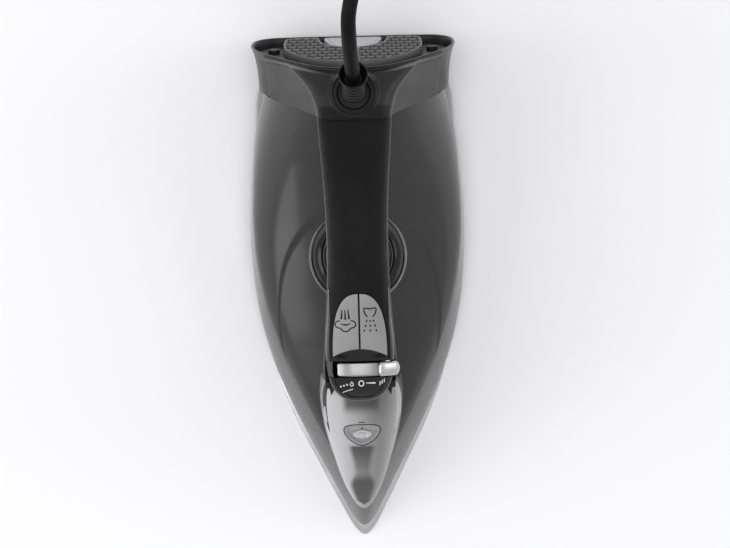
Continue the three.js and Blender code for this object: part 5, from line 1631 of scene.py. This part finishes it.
def half_moon():
    """Rings of the outline drawn in from the rounded edge, over the groove, to the face."""
    outline = closed_outline(MOON_HALF, 180)
    rows = []
    for inset, lift in [(0, None), (0, -0.6), (0.15, -0.2), (0.5, 0), (1.7, 0.02), (1.85, -0.35),
                        (2.35, -0.35), (2.5, 0.02), (4.5, 0.1)]:
        ring = drawn_in(outline, inset)
        face = -0.35 - 0.6 * rise(ring[:, 1], 8, 36)
        rows.append(heel_place(ring[:, 0], ring[:, 1], np.full(180, -4.4) if lift is None else face + lift))
    return sheet("collector_grip", np.stack(rows), crease=30)


moon = half_moon()
paint(MOON, moon)
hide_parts("collector_handle")
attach(moon, "collector")

# %% [markdown]
# The cord leaves through a swivel. Two rings sit on the boss; out of them leans a ribbed rubber
# boot that opens into a bell. All of it is turned work: a profile spun round an axis, and the
# boot's axis leans backwards.

# %% cord entry
BOOT_LEAN = math.radians(24)


def boot_profile():
    """Five ribs, then a bell of one wall's thickness that is hollow down to its throat."""
    profile = [(0, -1.5), (5.2, -1.5), (5.2, 0.4)]
    for k in range(5):
        h, r = 0.9 + 3.3 * k, 6.35 - 0.12 * k
        profile += [(4.9, h), (r - 0.25, h + 0.12), (r, h + 0.4), (r, h + 1.5), (r - 0.25, h + 1.78),
                    (4.9, h + 1.9)]
    profile += [(5.3, 17.6), (5.9, 18.2), (6.7, 20.2), (7.6, 22.4), (8.15, 23.7), (8.2, 24.2), (7.9, 24.5),
                (7.4, 24.45), (7.15, 24.1)]
    profile += [(6.5, 22.2), (5.6, 20.0), (4.6, 18.4), (0, 18.2)]
    return profile


boss_ring = turned("boss_ring", [(10.9, 126.5), (12.7, 126.5), (12.75, 127.7), (12.5, 128.25),
                                 (11.9, 128.5), (11.3, 128.3), (11.0, 127.8), (10.9, 126.5)],
                   (0, GLAND_Y, 0), steps=120)
socket = turned("socket_ring", [(0, 126.8), (10.5, 126.8), (10.55, 128.2), (10.2, 128.75), (9.6, 128.9),
                                (8.9, 128.5), (8.4, 127.9), (6.6, 127.7), (6.4, 128.6), (5.4, 128.9),
                                (0, 128.9)], (0, GLAND_Y, 0), steps=120)
boot = turned("cord_boot_ribs", boot_profile(), (0, GLAND_Y, 129.6), tilt=-BOOT_LEAN, steps=72, crease=45)
paint(SATIN, boss_ring)
paint(SATIN, socket)
paint(BOOT_RUBBER, boot)
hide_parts("cord_socket")
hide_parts("cord_boot")
for piece, body, slot in ((boss_ring, "housing", "shell_gloss"), (socket, "housing", "panel_black"),
                          (boot, "cord_swivel", "handle_black")):
    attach(piece, body)

# %% [markdown]
# The plug is an ordinary round two-pin one. Its body is a profile turned round the cord's axis,
# flattened a little where fingers grip it, with ribs that also relieve the strain on the cord.


# %% plug and pins
PLUG_X, PLUG_Y, PLUG_Z = 52.0, COIL_Y + 112, 19.2


def turned_along_y(name, profile, centre, squash=0.0, steps=72, crease=38):
    """A profile of [radius, distance] turned about a line that runs towards the iron; the squash
    flattens it sideways where the profile is long past its face."""
    profile = np.array(profile, float)
    angle = np.linspace(0, 2 * np.pi, steps, endpoint=False)
    r, h = profile[:, 0][:, None], profile[:, 1][:, None]
    flat = 1 - squash * rise(h, 6, 18) * (1 - rise(h, 30, 42))
    points = np.stack([r * np.cos(angle) * flat, np.broadcast_to(-h, (len(profile), steps)),
                       r * np.sin(angle)], -1)
    return sheet(name, points + np.array(centre), crease=crease)


def plug_profile():
    """Radius and height from the face back to the tail, whose five ribs grow smaller."""
    profile = [(0, 0), (15.6, 0), (16.0, 0.4), (17.6, 0.5), (18.3, 1.0), (18.6, 2.2), (18.6, 8.0),
               (18.3, 9.4), (16.4, 11.2), (14.6, 14.5), (13.4, 18), (12.0, 22), (9.6, 26.5)]
    for k in range(5):
        h, r = 28.5 + 4.2 * k, 8.6 - 0.75 * k
        profile += [(r - 1.0, h), (r - 0.1, h + 0.3), (r, h + 0.7), (r, h + 2.0), (r - 0.1, h + 2.4),
                    (r - 1.0, h + 2.8)]
    return profile + [(4.6, 49.6), (4.2, 49.9), (0, 49.9)]


plug = turned_along_y("plug_shell", plug_profile(), (PLUG_X, PLUG_Y, PLUG_Z), squash=0.16)
paint(SATIN, plug)
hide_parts("plug_body")
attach(plug, "cord_swivel")
pin_profile = [(0, -19), (1.1, -18.9), (1.9, -18.3), (2.3, -17.3), (2.4, -16), (2.4, -0.3), (0, -0.3)]
for side, node in ((-1, "plug_pin_left"), (1, "plug_pin_right")):
    pin = turned_along_y(node.replace("plug_pin", "contact_pin"), pin_profile,
                         (PLUG_X + side * 9.5, PLUG_Y, PLUG_Z), steps=40)
    paint(BRASS, pin)
    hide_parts(node)
    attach(pin, "cord_swivel")

# %% [markdown]
# The parts inside stay as the frame made them, and get the finish of what they are: steel, brass,
# silicone, white mouldings, and a smoked tank.


# %% finishes of the inner parts
INNER_FINISHES = {
    STEEL: ["heating_element", "chamber_cover", "steam_spring", "spray_spring", "steam_valve_rod",
            "dial_shaft", "sole_screw_front", "sole_screw_left", "sole_screw_right"],
    BRASS: ["thermostat"],
    SILICONE: ["chamber_gasket", "thermal_fuse", "valve_seal", "spray_tube", "collector_seal",
               "heater_wire_left", "heater_wire_right"],
    WHITE: ["steam_plunger", "spray_plunger", "steam_pump", "spray_pump", "scale_collector",
            "cord_clamp", "terminal_block"],
    TANK_SMOKE: ["water_tank"],
    INNER_BLACK: ["heel_screw_left", "heel_screw_right"],
}
for material, names in INNER_FINISHES.items():
    paint(material, *(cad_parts[name] for name in names))
print("inner parts finished:", sum(len(names) for names in INNER_FINISHES.values()))

# %% [markdown]
# The iron stands on a plain pale floor under soft studio light. One large panel hangs overhead,
# a brighter one stands on the left, and the pale floor fills the flanks from below.


# %% floor and lights
FLOOR_HALF = 6000.0


def area_light(name, at, aim, size, power, size_y=None):
    """A flat panel in metres and watts, turned towards its aim."""
    data = bpy.data.lights.new(name, "AREA")
    data.shape, data.size, data.size_y, data.energy = "RECTANGLE", size, size_y or size, power
    light = bpy.data.objects.new(name, data)
    bpy.context.scene.collection.objects.link(light)
    light.location = at
    light.rotation_euler = (Vector(aim) - Vector(at)).to_track_quat("-Z", "Y").to_euler()
    return light


def make_floor():
    """One square, a hair under the soleplate."""
    corners = np.array([[-1, -1, 0], [1, -1, 0], [1, 1, 0], [-1, 1, 0]]) * FLOOR_HALF
    piece = fill_mesh("floor", corners, [(0, 1, 2, 3)])
    paint(FLOOR, piece)
    piece.location.z = -0.05 * MM
    return piece


FLOOR = finish("pale floor", grey(0.93), grey(0.95), (0.8, 0.9), patch=0.6, depth=0.0)
floor = make_floor()
area_light("overhead panel", (0.0, 0.1, 2.0), (0, 0, 0), 1.6, 9, 1.2)
area_light("left panel", (-1.6, -0.3, 1.0), (0, 0, 0.1), 1.0, 9, 1.4)
area_light("right panel", (1.8, 0.2, 0.9), (0, 0, 0.1), 0.8, 4, 1.2)
world = bpy.data.worlds.new("studio")
bpy.context.scene.world = world
world.use_nodes = True
world.node_tree.nodes["Background"].inputs[0].default_value = (1, 1, 1, 1)
world.node_tree.nodes["Background"].inputs[1].default_value = 0.7
bpy.context.scene.view_settings.view_transform = "Standard"
